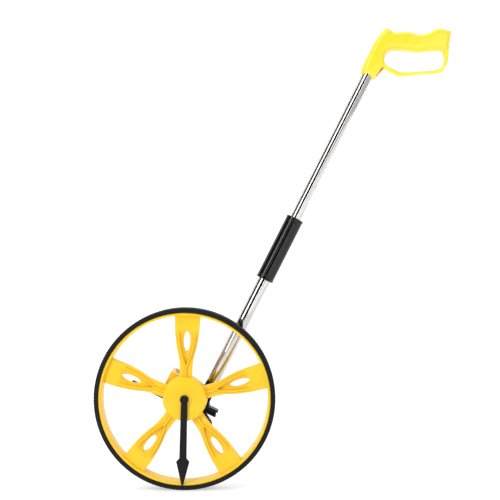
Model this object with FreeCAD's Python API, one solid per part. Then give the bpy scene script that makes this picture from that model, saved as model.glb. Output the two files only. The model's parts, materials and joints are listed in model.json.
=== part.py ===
"""Measuring wheel: a one-metre wheel with a hub pointer, a five-drum counter, a telescopic tube and a grip."""

import FreeCAD, Part

import math
import os

# Frame: the wheel turns about Y, its front faces -Y, Z is up, and the tyre meets the ground at the origin.
# Parts of the stem are drawn with the tube upright, its axle at the origin, and then leaned by LEAN.
ROLL = 1000.0
WHEEL_R = ROLL / (2 * math.pi)
LEAN = 26.8
FIT = 0.03

# wheel
TYRE_HALF = 15.0
TYRE_R_IN = 150.7
TYRE_KEY_DEPTH = 1.6
TYRE_KEY_HALF = 5.0
TYRE_SHOULDER = 2.2
GROOVES = (-7.5, 0.0, 7.5)
GROOVE_DEPTH = 1.0
GROOVE_TOP = 0.9
GROOVE_FLOOR = 0.5
RIM_R_FRONT = 146.3
RIM_R_BACK = 145.6
SPOKES = 5
SPOKE_FIRST = 88.0
SPOKE_FRONT = -5.5
SPOKE_RAISED = -9.0
SPOKE_BACK = 0.0
SPOKE_RIB_BACK = 5.0
SPOKE_WALL = 2.5
SPOKE_SIDES = ((30, 11.2), (63, 11.2), (76, 14.0), (94, 18.4), (111, 20.7), (130, 21.5), (147.5, 22.8))
HOLE_R_IN = 83.0
HOLE_R_OUT = 118.0
HOLE_HALF = 5.8
RIDGE_HALF = 1.75
RIDGE_FORK = 57.0
RIDGE_PATH = ((57, 0), (67.5, 7.0), (85, 11.2), (103, 13.7), (124, 14.6))
SPOKE_PAD_IN = 119.0
DRUM_R_FRONT = 38.0
DRUM_R_BACK = 39.5
DRUM_FRONT = -15.0
DRUM_BACK = 8.0
DRUM_WALL = 3.0
BOSS_R = 14.5
BOSS_BACK = 12.5
HUB_RING_R = 8.6
HUB_RING_HIGH = 0.6
HUB_BORE_R = 7.0
DRUM_SOFT = 2.5
DRUM_RIB_HALF = 1.2

# hub: two 608 ball bearings on an 8 mm axle
BEARING_R = 11.0
BEARING_W = 7.0
BEARING_FRONT = -12.0
BEARING_REAR = 4.5
RACE_IN_R = 5.8
RACE_OUT_R = 9.4
SHIELD_DEPTH = 0.4
AXLE_R = 4.0
NECK_R = 3.0
NECK_END = -21.6
SHOULDER_R = 5.5
SHOULDER_END = 22.0
AXLE_END = 51.8
POINTER_GROOVE_R = 2.7
CLIP_Y = (-13.1, -12.2)
CLIP_R = 6.0
CLIP_GROOVE = 0.4
CLIP_LUG_R = 1.3
CLIP_LUG_AT = (4.9, 1.9)
CLIP_TURNED = 250.0
SPACER_R = 5.7
NUT_ACROSS = 13.0
NUT_THICK = 6.5
AXLE_WASHER_R = 8.5
WASHER_THICK = 1.6
NUT_FACE = 42.0

# pointer
POINTER_LENGTH = 149.0
POINTER_TILT = 1.3
POINTER_BACK = -16.2
POINTER_FRONT = -22.6
POINTER_BOSS_R = 7.5

# counter gear train
MODULE = 0.8
GEAR_TEETH = 30
IDLER_TEETH = 15
GEAR_FRONT = 15.2
GEAR_BACK = 20.2
BACKLASH = 0.16
PRESSURE = 25.0
ADDENDUM = 0.8
DEDENDUM = 1.1

# counter, in the upright stem frame (X across the tube, Z along it)
BOX_X = (-43.5, -10.0)
BOX_Y = (13.6, 62.0)
BOX_Z = (-10.0, 29.0)
BOX_WALL = 2.0
COVER_Y = 65.0
DRUM_X = -27.7
DRUM_Z = 14.0
DRUM_COUNT = 5
DRUM_FIRST_Y = 24.0
DRUM_PITCH = 7.4
DIGIT_R = 11.0
CARRY_TEETH = 24
PINION_TEETH = 8
CARRY_ANGLE = 250.0
SHAFT_R = 2.5
KNOB_R = 9.0
KNOB_END = 76.0
KNOB_FLUTES = 12
POST_INSET = 3.6
POST_R = 2.6
COVER_SCREW_R = 1.1
COVER_HEAD_R = 2.4
WINDOW_HALF = 10.0
WINDOW_FROM = 23.5
WINDOW_THICK = 1.0
GEAR_CLEAR_R = 13.4
IDLER_PIN_R = 1.5
CARRY_PIN_R = 1.0
CARRY_PIN_Y = (22.0, 63.5)
FLANGE_SCREW_Z = (0.0, 18.0)
FLANGE_SCREW_Y = 54.5
FLANGE_SCREW_R = 1.4

# stem
TUBE_X = 32.0
TUBE_Y = 40.0
LOWER_R = 11.0
LOWER_WALL = 1.2
LOWER_FROM = 40.0
LOWER_TO = 345.0
UPPER_R = 9.5
UPPER_WALL = 1.0
UPPER_FROM = 268.0
UPPER_TO = 722.0
SPIGOT_TO = 82.0
SLEEVE_FROM = 248.5
SLEEVE_TO = 372.2
SLEEVE_R = 16.0
SLEEVE_FLUTES = 16

# bracket
ARM_Y = (29.0, 37.0)
BODY_X = (21.0, 43.0)
BODY_Y = (29.0, 51.0)
LUG_X = 64.0
LUG_Z = (-11.8, 1.0)
LUG_Y = (21.0, 40.0)
LUG_RIB = 3.6
FLANGE_X = -6.5
EAR_R = 10.5
EAR_LONG = 28.0
EAR_ANGLE = -29.2
TUBE_SCREW_R = 1.8
TUBE_SCREW_Z = 62.0

# stand
PIVOT_X = 54.5
PIVOT_Z = -30.0
LEG_TIP_X = -98.0
LEG_BAR_Z = (-23.2, -18.2)
LEG_Y = (18.4, 26.0)
EYE_R = 11.6
BOLT_R = 4.0
EAR_Y = (27.6, 36.0)
STAND_WASHER_R = 9.0
FOOT_LONG = 14.0
FOOT_CORE = 1.6
HEEL_ANGLE = -36.0
HEEL_REACH = 17.0

# grip, drawn in its own level frame with its origin under the palm
GRIP_X = 420.0
GRIP_Z = 740.0
GRIP_HALF = 15.5
GRIP_SOFT = 4.0
GRIP_WALL = 3.2
SOCKET_R = 13.8
SOCKET_FROM = 660.0
POCKET = ((-50, 68), (-38, 68), (1, 64), (28, 73), (53, 70), (49, 46), (0, 42.5), (-44, 46))
GRIP_SCREWS = ((-46, 58), (-16, 56), (20, 56), (48, 62))
GRIP_SCREW_R = 1.6
GRIP_SCREW_HALF = 9.0
GRIP_POST_R = 4.4
GRIP_REAR = ((-99, 19), (-90, 37), (-81, 55), (-70, 71), (-62, 80))
GRIP_TOP = ((-58, 80.6), (-47, 74), (-38, 73.2), (-20, 74.4), (1, 69.4),
            (15, 72), (28, 79), (38, 80.4), (58, 75))
GRIP_TAIL = ((58.6, 71), (55, 52), (53.4, 30), (51, 14), (43, 3), (30, -1.4))
GRIP_GUARD = ((0, -3), (-32, -6), (-46, -2), (-60, 5.5), (-66.5, 8))
LOOP = ((-62.5, 15), (-50, 9), (-36, 2), (-18, 1.8), (26, 4.8), (39, 9), (45, 22), (43.5, 38),
        (20, 39.5), (0, 37.5), (-24, 40), (-48, 41), (-60, 31))


def vec(x, y, z):
    """A point or direction."""
    return FreeCAD.Vector(x, y, z)


def rod(radius, y0, y1, x=0.0, z=0.0):
    """A round solid along Y."""
    return Part.makeCylinder(radius, y1 - y0, vec(x, y0, z), vec(0, 1, 0))


def pipe(outer, inner, y0, y1, x=0.0, z=0.0):
    """A round tube along Y."""
    return rod(outer, y0, y1, x, z).cut(rod(inner, y0 - 1, y1 + 1, x, z))


def block(x, y, z):
    """A box between two values on each axis."""
    return Part.makeBox(x[1] - x[0], y[1] - y[0], z[1] - z[0], vec(x[0], y[0], z[0]))


def plate(points, y0, y1):
    """A flat piece whose outline lies in XZ."""
    corners = [vec(x, y0, z) for x, z in points]
    return Part.Face(Part.makePolygon(corners + corners[:1])).extrude(vec(0, y1 - y0, 0))


def turned(profile):
    """A solid of revolution about Y, from (radius, y) points."""
    corners = [vec(r, y, 0) for r, y in profile]
    face = Part.Face(Part.makePolygon(corners + corners[:1]))
    return face.revolve(vec(0, 0, 0), vec(0, 1, 0), 360)


def curve(points, y):
    """A smooth edge through XZ points."""
    spline = Part.BSplineCurve()
    spline.interpolate([vec(x, y, z) for x, z in points])
    return spline.toShape()


def hexagon(across, y0, y1, x, z, bore):
    """A hexagon nut along Y."""
    reach = across / math.sqrt(3)
    corners = [(x + reach * math.cos(math.radians(60 * k)), z + reach * math.sin(math.radians(60 * k)))
               for k in range(6)]
    round_off = rod(reach * 0.965, y0, y1, x, z)
    return plate(corners, y0, y1).common(round_off).cut(rod(bore, y0 - 1, y1 + 1, x, z))


def turn(shape, angle, x=0.0, z=0.0):
    """Turn about a Y axis; a positive angle takes +X towards +Z."""
    copy = shape.copy()
    copy.rotate(vec(x, 0, z), vec(0, -1, 0), angle)
    return copy


def lean(shape):
    """From the upright stem frame to the frame of the whole wheel."""
    return lift(turn(shape, -LEAN))


def lift(shape):
    """From the axle to the ground frame."""
    copy = shape.copy()
    copy.translate(vec(0, 0, WHEEL_R))
    return copy


def joined(shapes):
    """One solid from overlapping ones."""
    whole = shapes[0]
    for shape in shapes[1:]:
        whole = whole.fuse(shape)
    return whole.removeSplitter()


def save(name, shape):
    """Write one node's file."""
    shape.exportStep(os.path.join("parts", name + ".step"))


# ---------------------------------------------------------------- gears

def gear(teeth, phase, y0, y1, x, z, backlash=BACKLASH):
    """An involute spur gear; phase is the angle of one tooth's middle, in degrees."""
    pitch_r = MODULE * teeth / 2
    base_r = pitch_r * math.cos(math.radians(PRESSURE))
    tip_r = pitch_r + ADDENDUM * MODULE
    root_r = pitch_r - DEDENDUM * MODULE

    def involute(radius):
        roll = math.sqrt(max(0.0, (radius / base_r) ** 2 - 1))
        return roll - math.atan(roll)

    half = math.pi / (2 * teeth) - backlash / (4 * pitch_r) + involute(pitch_r)
    flank = [max(root_r, base_r) + (tip_r - max(root_r, base_r)) * k / 3 for k in range(4)]
    corners = []
    for n in range(teeth):
        middle = math.radians(phase) + 2 * math.pi * n / teeth
        foot = half - involute(flank[0])
        side = [(root_r, middle - foot)] if root_r < flank[0] - 0.05 else []
        side += [(r, middle - half + involute(r)) for r in flank]
        back = [(r, 2 * middle - a) for r, a in reversed(side)]
        corners += [(x + r * math.cos(a), z + r * math.sin(a)) for r, a in side + back]
    return plate(corners, y0, y1)


def bearing_of(x0, z0, x1, z1):
    """The direction from one centre to another, in degrees."""
    return math.degrees(math.atan2(z1 - z0, x1 - x0))


def idler_centre():
    """The idler meshes with both big gears, on the side away from the tube."""
    reach = math.hypot(DRUM_X, DRUM_Z)
    arm = MODULE * (GEAR_TEETH + IDLER_TEETH) / 2
    side = math.sqrt(arm ** 2 - (reach / 2) ** 2)
    return (DRUM_X / 2 - side * DRUM_Z / reach, DRUM_Z / 2 + side * DRUM_X / reach)


def gear_phases():
    """Phases that put tooth into gap at both meshes."""
    ix, iz = idler_centre()
    first = bearing_of(0, 0, ix, iz)
    second = bearing_of(ix, iz, DRUM_X, DRUM_Z)
    idler = first + 180 + 180 / IDLER_TEETH
    pitch = 360 / IDLER_TEETH
    ahead = (idler - second) % pitch
    last = second + 180 - ahead * IDLER_TEETH / GEAR_TEETH + 180 / GEAR_TEETH
    return first, idler, last


# ---------------------------------------------------------------- wheel

def tyre():
    """Rubber tyre with rounded shoulders, a fine tread and a key groove on its inside."""
    key_r = TYRE_R_IN - TYRE_KEY_DEPTH
    floor_r = WHEEL_R - GROOVE_DEPTH
    side_r = WHEEL_R - TYRE_SHOULDER
    profile = [(TYRE_R_IN, -TYRE_HALF), (side_r, -TYRE_HALF), (WHEEL_R, -TYRE_HALF + TYRE_SHOULDER)]
    for groove in GROOVES:
        profile += [(WHEEL_R, groove - GROOVE_TOP), (floor_r, groove - GROOVE_FLOOR)]
        profile += [(floor_r, groove + GROOVE_FLOOR), (WHEEL_R, groove + GROOVE_TOP)]
    profile += [(WHEEL_R, TYRE_HALF - TYRE_SHOULDER), (side_r, TYRE_HALF), (TYRE_R_IN, TYRE_HALF)]
    profile += [(TYRE_R_IN, TYRE_KEY_HALF), (key_r, TYRE_KEY_HALF), (key_r, -TYRE_KEY_HALF)]
    profile += [(TYRE_R_IN, -TYRE_KEY_HALF)]
    return lift(turned(profile))


def rim():
    """The rim's thin band, with the key that holds the tyre."""
    key_r = TYRE_R_IN - TYRE_KEY_DEPTH
    return turned([(RIM_R_FRONT, -TYRE_HALF), (TYRE_R_IN, -TYRE_HALF), (TYRE_R_IN, -TYRE_KEY_HALF),
                   (key_r, -TYRE_KEY_HALF), (key_r, TYRE_KEY_HALF), (TYRE_R_IN, TYRE_KEY_HALF),
                   (TYRE_R_IN, TYRE_HALF), (RIM_R_BACK, TYRE_HALF)])


def spoke_outline(inset, r0, r1):
    """Both sides of one spoke along +X, drawn in by inset."""
    inner = [(r, w - inset) for r, w in SPOKE_SIDES]
    inner[0] = (r0, inner[0][1])
    inner[-1] = (r1, inner[-1][1])
    return inner


def spoke_blank(inset, r0, r1, y0, y1):
    """A spoke's flared plate along +X."""
    side = spoke_outline(inset, r0, r1)
    low = [(r, -w) for r, w in side]
    edges = [curve(side, y0), curve(low, y0)]
    edges += [Part.makeLine(vec(side[0][0], y0, side[0][1]), vec(low[0][0], y0, low[0][1]))]
    edges += [Part.makeLine(vec(side[-1][0], y0, side[-1][1]), vec(low[-1][0], y0, low[-1][1]))]
    return Part.Face(Part.Wire(Part.__sortEdges__(edges))).extrude(vec(0, y1 - y0, 0))


def slot(y0, y1, grow=0.0):
    """The leaf-shaped through hole of a spoke, an ellipse along +X."""
    middle = vec((HOLE_R_IN + HOLE_R_OUT) / 2, y0, 0)
    tip = middle + vec((HOLE_R_OUT - HOLE_R_IN) / 2 + grow, 0, 0)
    side = middle + vec(0, 0, HOLE_HALF + grow)
    edge = Part.Ellipse(tip, side, middle).toShape()
    return Part.Face(Part.Wire([edge])).extrude(vec(0, y1 - y0, 0))


def ridge(side, y0, y1):
    """One branch of the spoke's forked ridge."""
    outer = [(r, side * (w + RIDGE_HALF)) for r, w in RIDGE_PATH]
    inner = [(r, side * (w - RIDGE_HALF)) for r, w in RIDGE_PATH]
    edges = [curve(outer, y0), curve(inner, y0)]
    for (x0, z0), (x1, z1) in ((outer[0], inner[0]), (outer[-1], inner[-1])):
        edges.append(Part.makeLine(vec(x0, y0, z0), vec(x1, y0, z1)))
    return Part.Face(Part.Wire(Part.__sortEdges__(edges))).extrude(vec(0, y1 - y0, 0))


def spoke():
    """A pressed-looking spoke: flared plate, forked ridge, outer pad, oval hole and rear edge ribs."""
    root = DRUM_R_FRONT - 1.5
    end = RIM_R_FRONT + 0.8
    body = spoke_blank(0, root, end, SPOKE_FRONT, SPOKE_RIB_BACK)
    body = body.cut(spoke_blank(SPOKE_WALL, DRUM_R_BACK + 1.5, end - 2.5, SPOKE_BACK, SPOKE_RIB_BACK + 1))
    pad = spoke_blank(0.6, root, end, SPOKE_RAISED, SPOKE_FRONT + 0.5)
    pad = pad.common(block((SPOKE_PAD_IN, end), (-20, 5), (-30, 30)))
    stem = block((root, RIDGE_FORK + 3), (SPOKE_RAISED, SPOKE_FRONT + 0.5), (-RIDGE_HALF, RIDGE_HALF))
    raised = [ridge(side, SPOKE_RAISED, SPOKE_FRONT + 0.5) for side in (-1, 1)]
    collar = slot(SPOKE_FRONT, SPOKE_RIB_BACK, SPOKE_WALL)
    whole = joined([body, pad, stem, collar] + raised)
    return whole.cut(slot(-20, 20))


def drum():
    """The closed hub drum with its bearing boss, front rings and inner ribs."""
    shell = turned([(0, DRUM_FRONT), (DRUM_R_FRONT - DRUM_SOFT, DRUM_FRONT),
                    (DRUM_R_FRONT, DRUM_FRONT + DRUM_SOFT), (DRUM_R_BACK, DRUM_BACK),
                    (DRUM_R_BACK - DRUM_WALL, DRUM_BACK),
                    (DRUM_R_FRONT - DRUM_WALL, DRUM_FRONT + DRUM_WALL), (0, DRUM_FRONT + DRUM_WALL)])
    boss = rod(BOSS_R, DRUM_FRONT + 0.5, BOSS_BACK)
    ring = rod(HUB_RING_R, DRUM_FRONT - HUB_RING_HIGH, DRUM_FRONT + 1)
    reach = (BOSS_R - 1, DRUM_R_FRONT - 1.5)
    rib = block(reach, (DRUM_FRONT + 1, DRUM_BACK - 2), (-DRUM_RIB_HALF, DRUM_RIB_HALF))
    ribs = [turn(rib, SPOKE_FIRST + (k + 0.5) * 360 / SPOKES) for k in range(SPOKES)]
    return joined([shell, boss, ring] + ribs)


def wheel():
    """Rim, five spokes and hub drum, one yellow moulding."""
    arms = [turn(spoke(), SPOKE_FIRST + k * 360 / SPOKES) for k in range(SPOKES)]
    whole = joined([rim(), drum()] + arms)
    whole = whole.cut(rod(BEARING_R, BEARING_FRONT, BOSS_BACK + 1))
    whole = whole.cut(rod(HUB_BORE_R, DRUM_FRONT - 2, BEARING_FRONT + 1))
    return lift(whole)


def bearing(front):
    """A shielded ball bearing, its shields set back between the two races."""
    back = front + BEARING_W
    bore_r = AXLE_R + FIT
    profile = [(bore_r, front), (RACE_IN_R, front), (RACE_IN_R, front + SHIELD_DEPTH)]
    profile += [(RACE_OUT_R, front + SHIELD_DEPTH), (RACE_OUT_R, front), (BEARING_R, front), (BEARING_R, back)]
    profile += [(RACE_OUT_R, back), (RACE_OUT_R, back - SHIELD_DEPTH), (RACE_IN_R, back - SHIELD_DEPTH)]
    profile += [(RACE_IN_R, back), (bore_r, back)]
    return lift(turned(profile))


def wheel_gear():
    """The drive gear, its spigot pushed into the boss behind the rear bearing."""
    teeth = gear(GEAR_TEETH, gear_phases()[0], GEAR_FRONT, GEAR_BACK, 0, 0)
    spigot = rod(BEARING_R, BEARING_REAR + BEARING_W, GEAR_FRONT)
    core = rod(BEARING_R - 0.5, GEAR_FRONT - 1, GEAR_BACK)
    body = joined([teeth, spigot, core])
    return lean(body.cut(rod(SHOULDER_R + 0.8, 0, 30)))


# ---------------------------------------------------------------- axle and pointer

def axle():
    """The fixed axle: pointer neck, bearing seat, shoulder and threaded tail."""
    shoulder = BEARING_REAR + BEARING_W + 0.1
    groove_r = AXLE_R - CLIP_GROOVE
    profile = [(0, NECK_END), (NECK_R - 0.4, NECK_END), (NECK_R, NECK_END + 0.4), (NECK_R, -20.2)]
    profile += [(POINTER_GROOVE_R, -19.9), (POINTER_GROOVE_R, -19.1), (NECK_R, -18.8), (NECK_R, -14.2)]
    profile += [(AXLE_R, -13.9), (AXLE_R, CLIP_Y[0] - 0.1), (groove_r, CLIP_Y[0] - 0.1), (groove_r, CLIP_Y[1])]
    profile += [(AXLE_R, CLIP_Y[1]), (AXLE_R, shoulder), (SHOULDER_R, shoulder), (SHOULDER_R, SHOULDER_END)]
    profile += [(AXLE_R, SHOULDER_END), (AXLE_R, AXLE_END - 0.8), (AXLE_R - 0.8, AXLE_END), (0, AXLE_END)]
    return lift(turned(profile))


def axle_circlip():
    """An open spring ring in the axle's front groove."""
    front, back = CLIP_Y
    x, z = CLIP_LUG_AT
    ring = pipe(CLIP_R, AXLE_R - 0.35, front, back)
    lugs = [rod(CLIP_LUG_R, front, back, x, side * z) for side in (-1, 1)]
    clip = joined([ring] + lugs).cut(block((2, 9), (front - 1, back + 1), (-0.8, 0.8)))
    for side in (-1, 1):
        clip = clip.cut(rod(0.5, front - 1, back + 1, x, side * z))
    return lift(turn(clip, CLIP_TURNED))


def pointer():
    """A bevelled needle that hangs plumb from the axle's neck and snaps over its groove."""
    half_top = 5.5
    half_low = 6.35
    neck = 102.0
    shoulder = 108.0
    head = 11.5
    bevel = 1.6
    bore_r = NECK_R + 2 * FIT
    snap_r = POINTER_GROOVE_R + 0.15
    outline = [(-half_top, 0), (-half_low, -neck), (-head, -shoulder), (-1.4, -POINTER_LENGTH),
               (1.4, -POINTER_LENGTH), (head, -shoulder), (half_low, -neck), (half_top, 0)]
    flat = [(-half_top + bevel, -2), (-half_low + bevel, -neck - 1), (-head + 3.2, -shoulder - 1.5),
            (0, -POINTER_LENGTH + 8), (head - 3.2, -shoulder - 1.5), (half_low - bevel, -neck - 1),
            (half_top - bevel, -2)]
    blade = plate(outline, POINTER_BACK - 3.0, POINTER_BACK)
    crown = plate(flat, POINTER_BACK - 4.2, POINTER_BACK - 3.0)
    boss = turned([(0, POINTER_BACK), (POINTER_BOSS_R, POINTER_BACK), (POINTER_BOSS_R, POINTER_FRONT + bevel),
                   (POINTER_BOSS_R - bevel, POINTER_FRONT), (0, POINTER_FRONT)])
    whole = joined([blade, crown, boss])
    bore = turned([(0, -10), (bore_r, -10), (bore_r, -19.0), (snap_r, -19.2), (snap_r, -19.8),
                   (bore_r, -20.0), (bore_r, NECK_END - 0.3), (0, NECK_END - 0.3)])
    return lift(turn(whole.cut(bore), -POINTER_TILT))


# ---------------------------------------------------------------- counter

def rounded_box(x, y, z, radius):
    """A box with its four edges along Y rounded."""
    body = block(x, y, z)
    edges = [e for e in body.Edges if abs(e.Vertexes[0].Y - e.Vertexes[1].Y) > (y[1] - y[0]) / 2]
    return body.makeFillet(radius, edges)


def inner(span, wall):
    """A span drawn in by a wall at both ends."""
    return (span[0] + wall, span[1] - wall)


def counter_posts(y0, y1, radius):
    """A round solid at each corner post that takes a cover screw."""
    return [rod(radius, y0, y1, x, z) for x in inner(BOX_X, POST_INSET) for z in inner(BOX_Z, POST_INSET)]


def counter_housing():
    """The yellow counter case: window opening on top, gear opening on the wheel's side."""
    body = rounded_box(BOX_X, BOX_Y, BOX_Z, 3.0)
    hollow = rounded_box(inner(BOX_X, BOX_WALL), (BOX_Y[0] + 1.5, BOX_Y[1] + 1), inner(BOX_Z, BOX_WALL), 1.5)
    body = body.cut(hollow)
    for post in counter_posts(DRUM_FIRST_Y, BOX_Y[1], POST_R):
        body = body.fuse(post.common(block(BOX_X, BOX_Y, BOX_Z)))
    ix, iz = idler_centre()
    body = body.fuse(rod(3.6, BOX_Y[0] + 0.5, GEAR_FRONT - 0.1, ix, iz))
    body = body.fuse(rod(4.5, BOX_Y[0] + 0.5, GEAR_FRONT - 0.1, DRUM_X, DRUM_Z))
    body = body.cut(rod(SHAFT_R, BOX_Y[0] + 0.6, 30, DRUM_X, DRUM_Z))
    body = body.cut(rod(IDLER_PIN_R, BOX_Y[0] - 1, 30, ix, iz))
    body = body.cut(rod(GEAR_CLEAR_R, BOX_Y[0] - 1, GEAR_BACK + 1.4))
    sight = inner((DRUM_X - WINDOW_HALF, DRUM_X + WINDOW_HALF), 2.0)
    seat = (DRUM_X - WINDOW_HALF, DRUM_X + WINDOW_HALF)
    body = body.cut(block(sight, (WINDOW_FROM + 2, BOX_Y[1] - 2), (BOX_Z[1] - 3, BOX_Z[1] + 1)))
    body = body.cut(block(seat, (WINDOW_FROM, BOX_Y[1] + 1), (BOX_Z[1] - WINDOW_THICK, BOX_Z[1] + 1)))
    for post in counter_posts(50.0, BOX_Y[1] + 1, COVER_SCREW_R):
        body = body.cut(post)
    for z in FLANGE_SCREW_Z:
        start = vec(BOX_X[1] - 4, FLANGE_SCREW_Y, z)
        body = body.cut(Part.makeCylinder(FLANGE_SCREW_R, 8, start, vec(1, 0, 0)))
    return lean(body.removeSplitter())


def counter_cover():
    """The rear cover, which carries the drum shaft and the carry pin."""
    body = rounded_box(BOX_X, (BOX_Y[1], COVER_Y), BOX_Z, 3.0)
    body = body.fuse(rod(5.0, BOX_Y[1] - 1.0, COVER_Y, DRUM_X, DRUM_Z))
    body = body.cut(rod(SHAFT_R, 50, 80, DRUM_X, DRUM_Z))
    px, pz = carry_centre()
    body = body.cut(rod(CARRY_PIN_R, 50, CARRY_PIN_Y[1], px, pz))
    for post in counter_posts(BOX_Y[1] - 1, COVER_Y + 1, COVER_SCREW_R + 0.4):
        body = body.cut(post)
    return lean(body.removeSplitter())


def counter_window():
    """The clear lens over the drums."""
    across = inner((DRUM_X - WINDOW_HALF, DRUM_X + WINDOW_HALF), 0.1)
    return lean(block(across, (WINDOW_FROM + 0.1, BOX_Y[1]), (BOX_Z[1] - WINDOW_THICK, BOX_Z[1])))


def counter_screws():
    """Four pan-head screws of the cover."""
    screws = []
    shanks = counter_posts(52.0, COVER_Y, COVER_SCREW_R)
    heads = counter_posts(COVER_Y, COVER_Y + 1.6, COVER_HEAD_R)
    for shank, head in zip(shanks, heads):
        screws.append(shank.fuse(head).removeSplitter())
    return lean(Part.makeCompound(screws))


def counter_shaft():
    """The fixed shaft under the digit drums."""
    return lean(rod(SHAFT_R, BOX_Y[0] + 0.6, 72.0, DRUM_X, DRUM_Z))


def carry_centre():
    """The carry pin's place beside the drums."""
    reach = MODULE * (CARRY_TEETH + PINION_TEETH) / 2
    angle = math.radians(CARRY_ANGLE)
    return DRUM_X + reach * math.cos(angle), DRUM_Z + reach * math.sin(angle)


def drum_gear():
    """The counter's input gear, keyed to the fastest drum."""
    body = joined([gear(GEAR_TEETH, gear_phases()[2], GEAR_FRONT, GEAR_BACK, DRUM_X, DRUM_Z),
                   rod(6.0, GEAR_FRONT, DRUM_FIRST_Y, DRUM_X, DRUM_Z)])
    return lean(body.cut(rod(SHAFT_R + FIT, 0, 40, DRUM_X, DRUM_Z)))


def idler_gear():
    """The idler between the wheel's gear and the counter's."""
    ix, iz = idler_centre()
    body = gear(IDLER_TEETH, gear_phases()[1], GEAR_FRONT, GEAR_BACK, ix, iz)
    return lean(body.cut(rod(IDLER_PIN_R + FIT, 0, 40, ix, iz)))


def idler_pin():
    """The idler's headed pin, pushed into the case's front wall."""
    ix, iz = idler_centre()
    shank = rod(IDLER_PIN_R, BOX_Y[0], GEAR_BACK + 0.3, ix, iz)
    head = rod(IDLER_PIN_R + 1.3, GEAR_BACK + 0.3, GEAR_BACK + 1.8, ix, iz)
    return lean(joined([shank, head]))


def digit_drum(n):
    """A numeral drum; all but the first have a carry gear on their front side."""
    y0 = DRUM_FIRST_Y + DRUM_PITCH * n
    y1 = y0 + DRUM_PITCH - 0.3
    side = 2.6 if n else 0.0
    body = rod(DIGIT_R, y0 + side, y1, DRUM_X, DRUM_Z)
    if n:
        body = body.fuse(gear(CARRY_TEETH, CARRY_ANGLE, y0, y0 + side, DRUM_X, DRUM_Z))
    body = body.cut(rod(SHAFT_R + FIT, 0, 90, DRUM_X, DRUM_Z))
    return lean(body)


def carry_pinion(n):
    """The transfer pinion that steps drum n."""
    px, pz = carry_centre()
    y0 = DRUM_FIRST_Y + DRUM_PITCH * n
    body = gear(PINION_TEETH, CARRY_ANGLE + 180 + 180 / PINION_TEETH, y0 + 0.2, y0 + 2.4, px, pz)
    return lean(body.cut(rod(CARRY_PIN_R + FIT, 0, 90, px, pz)))


def carry_shaft():
    """The pin the carry pinions turn on, pushed into the rear cover."""
    px, pz = carry_centre()
    return lean(rod(CARRY_PIN_R, CARRY_PIN_Y[0], CARRY_PIN_Y[1], px, pz))


def reset_knob():
    """The fluted zero-reset knob on the shaft's rear end."""
    knob = rod(KNOB_R, COVER_Y + 0.4, KNOB_END, DRUM_X, DRUM_Z)
    reach = KNOB_R + 0.3
    for k in range(KNOB_FLUTES):
        angle = 2 * math.pi * k / KNOB_FLUTES
        x = DRUM_X + reach * math.cos(angle)
        z = DRUM_Z + reach * math.sin(angle)
        knob = knob.cut(rod(1.2, COVER_Y + 1.6, KNOB_END + 1, x, z))
    knob = knob.cut(rod(SHAFT_R + FIT, COVER_Y, 72.3, DRUM_X, DRUM_Z))
    return lean(knob)


# ---------------------------------------------------------------- bracket and stand

def frame_bracket():
    """The black bracket: tube spigot, axle arm, counter flange, stop lug and stand ear."""
    upright = rounded_box(BODY_X, BODY_Y, (-12.0, 34.0), 1.0)
    collar = Part.makeCylinder(LOWER_R, LOWER_FROM - 30.0, vec(TUBE_X, TUBE_Y, 30.0))
    spigot_r = LOWER_R - LOWER_WALL - 0.05
    spigot = Part.makeCylinder(spigot_r, SPIGOT_TO - LOWER_FROM + 1, vec(TUBE_X, TUBE_Y, LOWER_FROM - 1))
    boss = rod(9.5, SHOULDER_END, NUT_FACE)
    arm = plate([(-6.5, -8), (-6.5, 24), (22, 30), (22, -12), (0, -9)], ARM_Y[0], ARM_Y[1])
    flange = block((BOX_X[1], FLANGE_X), (24.0, 58.0), (-8.0, 24.0))
    gusset = plate([(-8, 10), (-8, 13), (22, 13), (22, 10)], ARM_Y[0], 50.0)
    ribs = [block((40.0, LUG_X), LUG_Y, (z, z + LUG_RIB)) for z in (LUG_Z[0], LUG_Z[1] - LUG_RIB)]
    web = block((40.0, LUG_X - 1.5), (LUG_Y[0] + 6, LUG_Y[1]), inner(LUG_Z, 1.0))
    root = block((36.0, 45.0), (LUG_Y[0] + 2, LUG_Y[1]), (LUG_Z[0], LUG_Z[1] + 4))
    eye = rod(EAR_R, EAR_Y[0], EAR_Y[1], PIVOT_X, PIVOT_Z)
    ear = block((0.0, EAR_LONG), (EAR_Y[0], EAR_Y[1]), (-EAR_R + 0.1, EAR_R - 0.1))
    ear = ear.fuse(block((0.0, EAR_LONG - 11.0), (EAR_Y[1] - 1, 46.0), (-2.0, 2.0)))
    ear.translate(vec(PIVOT_X - EAR_LONG, 0, PIVOT_Z))
    ear = turn(ear, EAR_ANGLE, PIVOT_X, PIVOT_Z)
    stem_end = [upright, collar, spigot, boss, arm, flange, gusset]
    body = joined(stem_end + [web, root, ear, eye] + ribs)
    body = body.cut(rod(AXLE_R, 0, 90))
    body = body.cut(rod(AXLE_WASHER_R + 0.5, NUT_FACE, AXLE_END - 0.6))
    body = body.cut(rod(BOLT_R, 0, 90, PIVOT_X, PIVOT_Z))
    body = body.cut(block((25.0, 39.0), (33.0, 60.0), (-8.0, 26.0)))
    for z in FLANGE_SCREW_Z:
        body = body.cut(Part.makeCylinder(FLANGE_SCREW_R + 0.2, 30, vec(-14, FLANGE_SCREW_Y, z), vec(1, 0, 0)))
    body = body.cut(rod(TUBE_SCREW_R, TUBE_Y, 60.0, TUBE_X, TUBE_SCREW_Z))
    return lean(body.removeSplitter())


def axle_washer():
    return lift(pipe(AXLE_WASHER_R, AXLE_R, NUT_FACE, NUT_FACE + WASHER_THICK))


def axle_nut():
    seat = NUT_FACE + WASHER_THICK
    return lift(hexagon(NUT_ACROSS, seat, seat + NUT_THICK, 0, 0, AXLE_R))


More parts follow.
